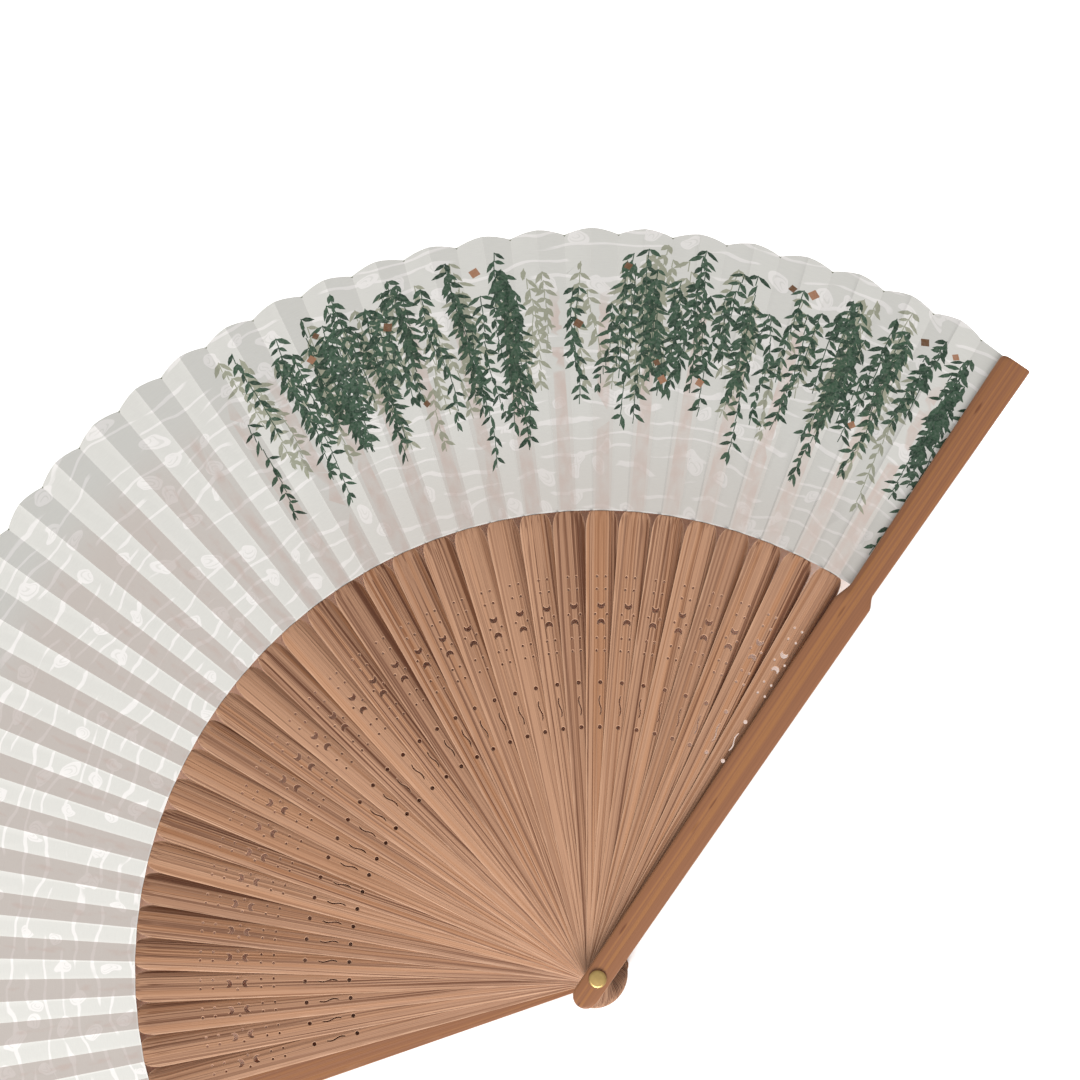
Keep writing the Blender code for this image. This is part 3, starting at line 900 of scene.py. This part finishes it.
# %% Spin the pin and the cap
def spun(name, profile):
    """A round body from (radius, height) points, which start and end on the axis."""
    bm = bmesh.new()
    verts = [bm.verts.new((radius, 0, z)) for radius, z in profile]
    edges = [bm.edges.new(pair) for pair in zip(verts, verts[1:])]
    bmesh.ops.spin(bm, geom=verts + edges, axis=(0, 0, 1), cent=(0, 0, 0), angle=math.tau, steps=48)
    bmesh.ops.remove_doubles(bm, verts=bm.verts[:], dist=0.001 * MM)
    bmesh.ops.recalc_face_normals(bm, faces=bm.faces[:])
    mesh = to_mesh(name, bm)
    mesh.materials.append(brass)
    return mesh


def rivet_head(seat, outward):
    """A low dome with a rounded rim, from its middle down to its seat."""
    points = []
    for turn in range(90, -1, -10):
        a = math.radians(turn)
        rise = outward * (0.28 + 0.35 * math.sin(a)) * MM
        points.append((1.75 * MM + 0.65 * MM * math.cos(a), seat + rise))
    middle = [(0, seat + outward * 0.7 * MM), (0.9 * MM, seat + outward * 0.68 * MM)]
    return middle + points + [(2.4 * MM, seat)]


PIN_RADIUS, PIN_SEAT, PIN_END = 1.0 * MM, 26.0 * MM, 0.4 * MM
CAP_HOLE, CAP_SEAT, CAP_HOLE_END = 1.15 * MM, 0.7 * MM, 0.25 * MM
pin = rivet_head(PIN_SEAT, 1) + [(PIN_RADIUS, PIN_SEAT), (PIN_RADIUS, PIN_END), (0, PIN_END)]
cap = rivet_head(CAP_SEAT, -1) + [(CAP_HOLE, CAP_SEAT), (CAP_HOLE, CAP_HOLE_END), (0, CAP_HOLE_END)]
place_piece("brass_rivet_pin", spun("rivet_pin", pin), "root", "rivet_brass", "rivet_pin")
place_piece("brass_rivet_cap", spun("rivet_cap", cap), "root", "rivet_brass", "rivet_cap")
print("rivet: pin and cap")

# %% [markdown]
# ## The printed design
#
# The cloth is printed, and carries a few flecks of metal leaf. The design is a plain and
# common one: strands of willow that hang from the rim. It is drawn in the flat, on the
# cloth as it is before pleating, where x runs round the fan and y is the distance from
# the rivet, both in millimetres. Geometry Nodes scatters the strands, and sets two narrow
# leaves and a piece of twig on each of their joints. Only the outlines of these shapes
# are used later, so the material that their tree sets isn't seen.

# %% A willow leaf and a piece of twig, each 1 long and hanging from the origin
HALF_LEAF = [(0.0, 0.0), (0.48, -0.32), (0.4, -0.66), (0.0, -1.0)]
TWIG = [(-0.5, -1.0), (0.5, -1.0), (0.5, 0.05), (-0.5, 0.05)]


def flat_object(name, outline):
    mesh = bpy.data.meshes.new(name)
    mesh.from_pydata([(x, y, 0) for x, y in outline], [], [list(range(len(outline)))])
    return bpy.data.objects.new(name, mesh)


leaf_shape = flat_object("willow_leaf", HALF_LEAF[::-1] + [(-x, y) for x, y in HALF_LEAF[1:-1]])
twig_shape = flat_object("willow_twig", TWIG)
print("corners of a willow leaf:", len(leaf_shape.data.vertices))

# %% The strands as a rule: where each joint hangs
willow, given, ends = start_tree("willow strands", {
    "Strands": "Int", "Joints": "Int", "Left": "Float", "Width": "Float", "Crowns": "Float",
    "Leaf": "Object", "Twig": "Object", "Seed": "Int"})
row = add_node(willow, "GeometryNodeMeshLine", {"Count": given["Strands"] * given["Joints"]})
index = out(add_node(willow, "GeometryNodeInputIndex"))
strand = (index / given["Joints"] + 0.001).math("FLOOR")
joint = index - strand * given["Joints"]


def chance(low, high, seed, number=strand):
    """A random number for each strand, the same in every run."""
    inputs = {2: low, 3: high, "ID": number, "Seed": given["Seed"] + seed}
    return out(add_node(willow, "FunctionNodeRandomValue", inputs, data_type="FLOAT"), 1)


crown = (chance(0.0, 1.0, 11) * given["Crowns"]).math("FLOOR")
crown_share = (crown + 0.5 + chance(-0.25, 0.25, 23, crown)) / given["Crowns"]
aside = (chance(-1.0, 1.0, 31) + chance(-1.0, 1.0, 37)) * 0.5
start_x = given["Left"] + crown_share * given["Width"] + aside * 10.0
start_y = 197.5 - aside * aside * 14.0 - chance(0.0, 13.0, 41)
spacing = chance(2.0, 3.0, 43)
sway = (joint * 0.42 + chance(0.0, 6.3, 47)).math("SINE") * chance(0.4, 1.5, 53)
lean = aside * joint * chance(0.1, 0.45, 59)
hangs = joint.math("LESS_THAN", given["Joints"] * chance(0.45, 1.0, 67))
hung = add_node(willow, "GeometryNodeSetPosition", {
    "Geometry": out(row), "Position": combine(start_x + sway + lean, start_y - joint * spacing, 0.0)})
print("nodes that place the joints:", len(willow.nodes))

# %% Two leaves and a piece of twig on each joint
bend = (joint * 0.42 + 0.4).math("COSINE") * 0.1 + aside * 0.12
each = index * 3
joined = add_node(willow, "GeometryNodeJoinGeometry")


def set_on_joints(label, turn, width, length, where):
    """One of the given shapes on each joint, turned and stretched."""
    shape = out(add_node(willow, "GeometryNodeObjectInfo", {"Object": given[label]}), "Geometry")
    return add_node(willow, "GeometryNodeInstanceOnPoints", {
        "Points": out(hung), "Instance": shape, "Rotation": combine(0.0, 0.0, turn),
        "Scale": combine(width, length, 1.0), "Selection": where})


parts = []
for side, seed in ((1, 61), (-1, 71)):
    turn = bend + side * chance(0.1, 1.25, seed, each)
    length = chance(2.3, 4.4, seed + 1, each)
    width = chance(0.9, 1.4, seed + 2, each)
    grows = hangs * chance(0.0, 1.0, seed + 3, each).math("GREATER_THAN", 0.12)
    parts.append(set_on_joints("Leaf", turn, width, length, grows))
parts.append(set_on_joints("Twig", bend, 0.24, spacing, hangs))
for part in parts:
    willow.links.new(part.outputs[0], joined.inputs[0])
end_tree(willow, out(joined), given["Material"], ends)
print("nodes that draw willow:", len(willow.nodes))

# %% Draw the strands
# The last ink is painted shade, laid in each valley of the rim.
INKS = {
    "bare": (0, 0, 0, 0), "sage": (0.20, 0.205, 0.145, 0.9), "green": (0.027, 0.059, 0.034, 1.0),
    "deep green": (0.012, 0.033, 0.018, 1.0), "copper": (0.31, 0.155, 0.09, 1.0),
    "bronze": (0.14, 0.07, 0.035, 1.0), "valley_shade": (0.09, 0.10, 0.06, 0.9),
}
PRINT_LEFT, PRINT_RIGHT, PRINT_LOW, PRINT_TOP = 3.4, 196.0, 127, 198.6


def outlines(mesh):
    """The flat shapes of a mesh, as lists of (x, y)."""
    points = [tuple(vert.co[:2]) for vert in mesh.vertices]
    return [[points[i] for i in face.vertices] for face in mesh.polygons]


empty = bpy.data.meshes.new("empty")
print_shapes = []
for ink, strands, joints, seed in (("sage", 58, 14, 5), ("green", 98, 15, 9)):
    drawn = run_tree(willow, empty, {
        "Strands": strands, "Joints": joints, "Left": PRINT_LEFT + 4, "Crowns": 14.0,
        "Width": PRINT_RIGHT - PRINT_LEFT - 8, "Leaf": leaf_shape, "Twig": twig_shape, "Seed": seed,
        "Material": rib_bamboo})
    print_shapes += [("deep green" if ink == "green" and i * 7 % 5 < 2 else ink, outline)
                     for i, outline in enumerate(outlines(drawn))]
print("shapes of willow:", len(print_shapes))

# %% Add the flecks of metal leaf
FLECKS, QUARTERS = 15, (0, 1.571, 3.142, 4.712)
flecks = np.random.default_rng(12)
for i in range(FLECKS):
    x, y = flecks.uniform(PRINT_LEFT + 8, PRINT_RIGHT - 10), flecks.uniform(152, 194)
    half, turn = flecks.uniform(1.0, 1.5), flecks.uniform(-0.5, 0.5)
    corners = [(half * math.cos(turn + a), half * math.sin(turn + a)) for a in QUARTERS]
    print_shapes.append(("copper" if i % 2 else "bronze", [(x + u, y + v) for u, v in corners]))
kept = [(ink, shape) for ink, shape in print_shapes
        if all(PRINT_LEFT < x < PRINT_RIGHT + 8 and PRINT_LOW < y < PRINT_TOP for x, y in shape)]
print("printed shapes:", len(kept))

# %% [markdown]
# ## The cloth in the flat
#
# The print has sharp edges, far finer than a picture could hold over the whole leaf. So
# the shapes are cut into the cloth's own mesh. A constrained triangulation takes the
# outlines of the panels, the print's shapes and a regular grid of points, and joins them
# into triangles that never cross a line. Each triangle then knows which ink lies on it.
# The line just past each upper crease stays an edge too, because the cloth bends there.
# A small dark mark is painted in each valley of the rim: painted shade in the fold there.

# %% The rim of the flat cloth
CLOTH_RADIUS, TRIMMED_Y = 163.0, 198.6
PANEL_WIDTH = PITCH / 2 * CLOTH_RADIUS
inner_y, valley_y, peak_y = LEAF_START / MM, LEAF_VALLEY / MM, LEAF_PEAK / MM


def rim_y(x):
    """The scalloped rim: a sharp valley at each right crease, a soft peak at each left.

    On the guards the cloth is trimmed just short of their square ends.
    """
    panel = x / PANEL_WIDTH
    if panel < 2 - 1e-6:
        return TRIMMED_Y + (valley_y - TRIMMED_Y) * max(0, panel - 1)
    if panel > 2 * REAR - 1e-6:
        return TRIMMED_Y
    low = TRIMMED_Y if panel > 2 * REAR - 1 else valley_y
    rise = 1 - abs(1 - panel % 2)
    return low + (peak_y - low) * (1 - (1 - rise) ** 1.7)


valley_and_peak = [round(rim_y(panel * PANEL_WIDTH), 1) for panel in (REAR, REAR + 1)]
print("rim, in a valley and on a peak:", valley_and_peak, "mm from the rivet")

# %% The panels, and a grid of points
FREE_STEPS = (0.0, 0.09, 0.3, 0.55, 0.8, 0.94, 1.0)
GLUED_STEPS = (0.0, 0.25, 0.5, 0.75, 1.0)
ROW_SHARES = np.linspace(0, 1, 8)
columns = []
for stick in range(REAR + 1):
    start = 2 * stick * PANEL_WIDTH
    columns += [start + PANEL_WIDTH * s for s in GLUED_STEPS[:-1]]
    if stick < REAR:
        columns += [start + PANEL_WIDTH * (1 + s) for s in FREE_STEPS[:-1]]
columns.append((2 * REAR + 1) * PANEL_WIDTH)
points, grid = [], []
for x in columns:
    grid.append(list(range(len(points), len(points) + len(ROW_SHARES))))
    points += [Vector((x, inner_y + (rim_y(x) - inner_y) * s)) for s in ROW_SHARES]
creases = [c for c, x in enumerate(columns) if abs(x / PANEL_WIDTH - round(x / PANEL_WIDTH)) < 1e-4]
panels = []
for a, b in zip(creases, creases[1:]):
    bottom = [grid[c][0] for c in range(a, b + 1)]
    top = [grid[c][-1] for c in range(b, a - 1, -1)]
    panels.append(bottom + grid[b][1:-1] + top + grid[a][-2:0:-1])
folds = [pair for c, column in enumerate(grid) if c - 1 in creases[1::2]
         for pair in zip(column, column[1:])]
print("panels:", len(panels))


# %% Cut the print into them
def triangulate(points, shapes):
    """The points and triangles of a flat sheet, and for each triangle the last shape on it."""
    made, _, triangles, _, _, covers = delaunay_2d_cdt(points, folds, shapes, 1, 1e-4, True)
    inside = [(tuple(t), max(cover)) for t, cover in zip(triangles, covers) if cover]
    turned = [(a, b, c) if (made[b] - made[a]).cross(made[c] - made[a]) > 0 else (a, c, b)
              for (a, b, c), _ in inside]
    return made, turned, [cover for _, cover in inside]


# Painted shade: a small dark mark in each valley of the rim, where the fold lies in shade.
for stick in range(1, REAR):
    x = 2 * stick * PANEL_WIDTH
    mark = [(x - 0.36, valley_y - 0.08), (x - 0.05, valley_y - 0.5), (x + 0.3, valley_y - 0.1)]
    kept.append(("valley_shade", mark))
inks = ["bare"] * len(panels) + [ink for ink, _ in kept]
all_points, all_shapes = points[:], panels[:]
for _, shape in kept:
    all_shapes.append(list(range(len(all_points), len(all_points) + len(shape))))
    all_points += [Vector(p) for p in shape]
front_points, front, front_cover = triangulate(all_points, all_shapes)
back_points, back, _ = triangulate(points, panels)
print("front triangles:", len(front), "back triangles:", len(back))

# %% [markdown]
# ## A sheet with two sides
#
# Cloth is thin but not without thickness. The triangles are laid down twice, once for the
# front and once turned over for the back, and the two are joined round the border, which
# makes one closed body. An attribute called side says which is which, and the fold below
# moves them apart by the cloth's thickness.

# %% Front, back and border
def border(triangles):
    """The edges of a sheet that only one triangle has, each in that triangle's direction."""
    directed = {(a, b) for t in triangles for a, b in zip(t, t[1:] + t[:1])}
    return sorted((a, b) for a, b in directed if (b, a) not in directed)


def spot(point):
    return round(point.x, 3), round(point.y, 3)


count = len(front_points)
back_number = {spot(p): count + i for i, p in enumerate(back_points)}
band = []
for a, b in border(front):
    c, d = back_number[spot(front_points[a])], back_number[spot(front_points[b])]
    band.append((b, a, c, d))
turned_back = [tuple(count + i for i in reversed(t)) for t in back]
flat_cloth = bpy.data.meshes.new("flat_cloth")
flat_points = [(p.x, p.y, 0.0) for p in front_points + back_points]
flat_cloth.from_pydata(flat_points, [], front + turned_back + band)
side = flat_cloth.attributes.new("side", "FLOAT", "POINT")
side.data.foreach_set("value", [1.0] * count + [-1.0] * len(back_points))
face_ink = [inks[cover] for cover in front_cover] + ["bare"] * (len(back) + len(band))
print_layer = flat_cloth.attributes.new("print", "FLOAT_COLOR", "FACE")
print_layer.data.foreach_set("color", [v for ink in face_ink for v in INKS[ink]])
metal_layer = flat_cloth.attributes.new("metal_leaf", "FLOAT", "FACE")
metal_layer.data.foreach_set("value", [float(ink in ("copper", "bronze")) for ink in face_ink])
print("cloth points:", len(flat_cloth.vertices), "border:", len(band))

# %% [markdown]
# ## Cloth
#
# The leaf is a thin pale silk. Flowing water is woven into it: lines and eddies that are
# only a little brighter and smoother than the ground, because their threads lie another
# way. The print lies on top. Where a rib is glued behind the cloth, a soft pinkish stripe
# is painted: the rib's colour and its shade seen through the sheer silk. Over the glued
# panels a faint warm tint is painted, for light thrown back by the ribs behind. Towards
# the rear guard the stripe grows wider and softer and the tint reaches higher. The foot
# of the cloth is dirtied by hands, and along its cut edge a pale band is painted: the
# edge's own paleness and a painted highlight. All of it reads the attribute cloth, which
# holds each point's place in the flat in millimetres, so the pattern folds with the
# pleats. Thin silk also lets some light through from behind. A faint emission in the
# cloth's own colour stands for that light, and keeps the shaded pleats from turning dull.

# %% Woven water as a shader group
water_group, given, ends = start_group(
    "woven water", "ShaderNodeTree",
    {"Cloth": "Vector", "Spacing": "Float", "Eddies": "Float"}, {"Mask": "Float"})
x, y, _ = split(given["Cloth"])
drift = noise(combine(x * 0.045, y * 0.06, 0.0), detail=1.0) - 0.5
curl = noise(combine(x * 0.15, y * 0.17, 5.0), detail=1.0) - 0.5
eddy_x, eddy_y = x * 0.105 + drift + curl * 0.6, y * 0.115 + drift + curl * 0.5
eddies = add_node(water_group, "ShaderNodeTexVoronoi", {
    "Vector": combine(eddy_x, eddy_y, 0.0), "Scale": 1.0}, voronoi_dimensions="2D")
picked, to_left, upwards = split(out(eddies, "Color"))
centre_x, centre_y, _ = split(out(eddies, "Position"))
lean = (eddy_x - centre_x) * (to_left.math("GREATER_THAN", 0.5) * 0.8 - 0.4)
lean = lean + (eddy_y - centre_y) * (upwards.math("GREATER_THAN", 0.5) * 0.9 - 0.45)
reach = out(eddies, "Distance") + lean
arcs = ease(((reach * 17.0).math("FRACT") - 0.5).math("ABSOLUTE"), 0.3, 0.42)
arcs = arcs * (1.0 - ease(lean, -0.03, 0.01))
eddy = (1.0 - ease(reach, 0.165, 0.18)) * (1.0 - arcs * 0.7) * ease(given["Eddies"] - picked, 0.0, 0.02)
field = y / given["Spacing"] + drift * 2.6 + curl * 0.5
stream = 1.0 - ease((field.math("FRACT") - 0.5).math("ABSOLUTE"), 0.07, 0.11)
stretches = ease(noise(combine(x * 0.06, y * 0.2, 9.0), detail=0.0), 0.44, 0.5)
feed(water_group, ends["Mask"], eddy.math("MAXIMUM", stream * stretches))
print("nodes in the water:", len(water_group.nodes))

# %% Silk threads as a shader group
weave_group, given, ends = start_group(
    "silk threads", "ShaderNodeTree",
    {"Cloth": "Vector", "Threads": "Float"}, {"Height": "Float", "Slubs": "Float"})
x, y, _ = split(given["Cloth"])
weft = (x * given["Threads"] * math.tau).math("SINE") * (y * given["Threads"] * math.tau).math("SINE")
slubs = noise(combine(x * 0.35, y * 4.0, 0.0), detail=2.0)
feed(weave_group, ends["Height"], weft * 0.4 + slubs)
feed(weave_group, ends["Slubs"], slubs)
print("nodes in the threads:", len(weave_group.nodes))

# %% The silk, the shade and bounce light painted on it, and its dirt
SILK, SLUB, WATER = (0.432, 0.426, 0.402, 1), (0.476, 0.468, 0.441, 1), (0.54, 0.522, 0.505, 1)
# The first colour here is painted shade and warm bounce light of the ribs through the silk, the second is
# dirt at the foot, and the third is the cut edge's paleness with a painted highlight.
RIB_SHADE_AND_BOUNCE, SOILED, PALE_EDGE_AND_HIGHLIGHT = (0.42, 0.34, 0.305, 1), (0.36, 0.315, 0.285, 1), (0.58, 0.57, 0.55, 1)
cloth_paint, tree, shader = start_material("printed silk")
cloth_place = attribute(tree, "cloth")
x, y, _ = split(cloth_place)
water_values = {"Cloth": cloth_place, "Spacing": 4.6, "Eddies": 0.55}
woven = out(use_group(tree, water_group, water_values), "Mask")
threads = use_group(tree, weave_group, {"Cloth": cloth_place, "Threads": 4.0})
silk = mix(woven, mix(out(threads, "Slubs"), SILK, SLUB), WATER)

# Painted shade and light: a darker pinkish stripe where a rib lies behind the silk, and a warm tint over the
# glued panels for light thrown back by the ribs.
from_rib = attribute(tree, "from_rib", "Fac")
from_rib_edge = from_rib - (1.9 - (y - 125.0) * 0.0093)
from_crease = from_rib - y * math.sin(PITCH / 4)
toward_rear = ease(x, 175.0, 235.0)
crisp = 1.0 - ease(from_rib_edge, -0.15, 0.2)
soft = 1.0 - ease(from_rib_edge, -1.6, 0.7)
blots = ease(noise(combine(x * 0.35, y * 0.2, 2.0), detail=4.0), 0.3, 0.7)
streak = (crisp + (soft - crisp) * toward_rear) * (0.35 + blots * 0.5) * (1.0 - ease(y, 177.0, 187.0))
high_up, low_down = toward_rear * (1.0 - ease(y, 172.0, 192.0)) * 0.5, (1.0 - ease(y, 128.0, 165.0)) * 0.3
panel = (1.0 - ease(from_crease, -0.02, 0.1)) * high_up.math("MAXIMUM", low_down)
silk = mix(streak.math("MAXIMUM", panel), silk, RIB_SHADE_AND_BOUNCE)
foot = (1.0 - ease(y, 127.0, 158.0)) * (1.0 - ease(x, 150.0, 240.0))
silk = mix(foot * 0.35, silk, SOILED)
# The cut edge at the foot is painted pale: its own paleness, with a painted highlight along it.
silk = mix((1.0 - ease(y, 125.4, 125.65)) * 0.5, silk, PALE_EDGE_AND_HIGHLIGHT)
print("nodes in the silk:", len(tree.nodes))

# %% The print on the silk, and how both take the light
ink_node = add_node(tree, "ShaderNodeAttribute", attribute_name="print")
fade = 0.97 + (noise(combine(x * 1.5, y * 1.5, 0.0), detail=2.0) - 0.5) * 0.3
printed = mix((out(ink_node, "Alpha") * fade).math("MINIMUM", 1.0), silk, out(ink_node, "Color"))
metal = attribute(tree, "metal_leaf", "Fac")
for label, value in {"Base Color": printed, "Emission Color": printed, "Metallic": metal * 0.5,
                     "Roughness": 0.82 - woven * 0.2 - metal * 0.42, "Emission Strength": 0.2,
                     "Sheen Weight": 0.03, "Specular IOR Level": 0.25}.items():
    feed(tree, shader.inputs[label], value)
bump(tree, shader, out(threads, "Height") + woven * 0.8, 0.03 * MM, 0.6)
print("nodes with the print:", len(tree.nodes))

# %% [markdown]
# ## Folding the cloth
#
# Pleats follow one rule, so Geometry Nodes can fold the flat cloth. Every stick carries a
# glued panel that lies along the stick's own twisted face, and a free panel steps down
# to the next stick. Just past each upper crease the free panel drops by a rib's
# thickness, so that it can lie behind the rib when the fan is shut. The tree also writes
# share, the part of the guard's turn that each point takes: one value on a glued panel,
# and evenly from one to the next on a free panel. That is how pleats close.

# %% The tree that folds the cloth: how far round each point lies
CLOTH_THICK, LIFT = 0.08 * MM, 0.23 * MM
FRONT_CLOTH_Z = FRONT_GUARD_Z + GUARD_RELIEF - CLOTH_THICK
REAR_CLOTH_Z = REAR_GUARD_Z + GUARD_THICK - GUARD_RELIEF + CLOTH_THICK
fold, given, ends = start_tree("fold the cloth", dict.fromkeys(
    ("Pitch", "Sticks", "Twist", "Step", "Top Rib", "Front", "Rear", "Thickness"), "Float"))
flat = out(add_node(fold, "GeometryNodeInputPosition"))
x, y, _ = split(flat)
radius = y * MM
travel = x / (given["Pitch"] * CLOTH_RADIUS)
stick = (travel + 1e-5).math("FLOOR")
phase = (travel - stick) * 2
on_stick = phase.math("MINIMUM", 1.0)
past = (phase - 1.0).math("MAXIMUM", 0.0)
half_width = radius * (given["Pitch"] / 4).math("SINE")
angle = x / CLOTH_RADIUS - given["Pitch"] * (given["Sticks"] * 0.5 + 0.25)
on_guards = [round(z / MM, 2) for z in (REAR_CLOTH_Z, FRONT_CLOTH_Z)]
print("height of the cloth on the guards:", on_guards, "mm")

# %% How high each point lies, and how far it turns (rises and drops in millimetres)
SLOW_RISE, FIRST_DROP, LAST_DROP = 0.37, 0.28, 0.09
OFF_THE_RIB = 60


def crease_height(number, side):
    """The height of the left (1) or right (-1) edge of the panel on a stick."""
    rib = given["Top Rib"] - (number - 1.0) * given["Step"] + half_width * given["Twist"] * side
    is_front = number.math("LESS_THAN", 0.5)
    is_rear = number.math("GREATER_THAN", given["Sticks"] - 0.5)
    return rib * (1.0 - is_front - is_rear) + given["Front"] * is_front + given["Rear"] * is_rear


right_z, left_z = crease_height(stick, -1.0), crease_height(stick, 1.0)
next_z = crease_height(stick + 1.0, -1.0)
glued_z = right_z + (left_z - right_z) * on_stick
first_drop, last_drop = ease(past, 0.0, 0.09) * FIRST_DROP * MM, ease(past, 0.94, 1.0) * LAST_DROP * MM
tuck = past * SLOW_RISE * MM - first_drop - last_drop
height = glued_z + (next_z - left_z) * past + tuck * past.math("GREATER_THAN", 0.0)
height = height + named(fold, "side") * given["Thickness"] * 0.5
share = (given["Sticks"] - stick - past) / given["Sticks"]
on_rib = (on_stick * 2 - 1.0).math("ABSOLUTE") * half_width * TO_MM
marked = store(fold, given["Geometry"], "cloth", flat, "FLOAT_VECTOR")
marked = store(fold, marked, "share", share)
marked = store(fold, marked, "from_rib", on_rib + past * (1.0 - past) * OFF_THE_RIB)
place = combine(angle.math("SINE") * radius * -1, angle.math("COSINE") * radius, height)
moved = add_node(fold, "GeometryNodeSetPosition", {"Geometry": marked, "Position": place})
end_tree(fold, out(moved), given["Material"], ends)
print("nodes that fold the cloth:", len(fold.nodes))

# %% Fold it, and let it move with the sticks
folded = run_tree(fold, flat_cloth, {
    "Pitch": PITCH, "Sticks": float(REAR), "Twist": TWIST, "Step": STACK_STEP,
    "Top Rib": TOP_RIB_Z + LIFT, "Front": FRONT_CLOTH_Z, "Rear": REAR_CLOTH_Z,
    "Thickness": CLOTH_THICK, "Material": cloth_paint})
smooth(folded, 24)
leaf = bpy.data.objects.new("silk_leaf", folded)
bpy.context.collection.objects.link(leaf)
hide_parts("leaf")
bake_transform(leaf, "root", "front_guard", start=(-0.1, 0.1, 0), end=(0.1, 0.1, 0))
shares = np.zeros(len(folded.vertices), np.float32)
folded.attributes["share"].data.foreach_get("value", shares)
folded.attributes["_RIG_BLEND"].data.foreach_set("value", shares)
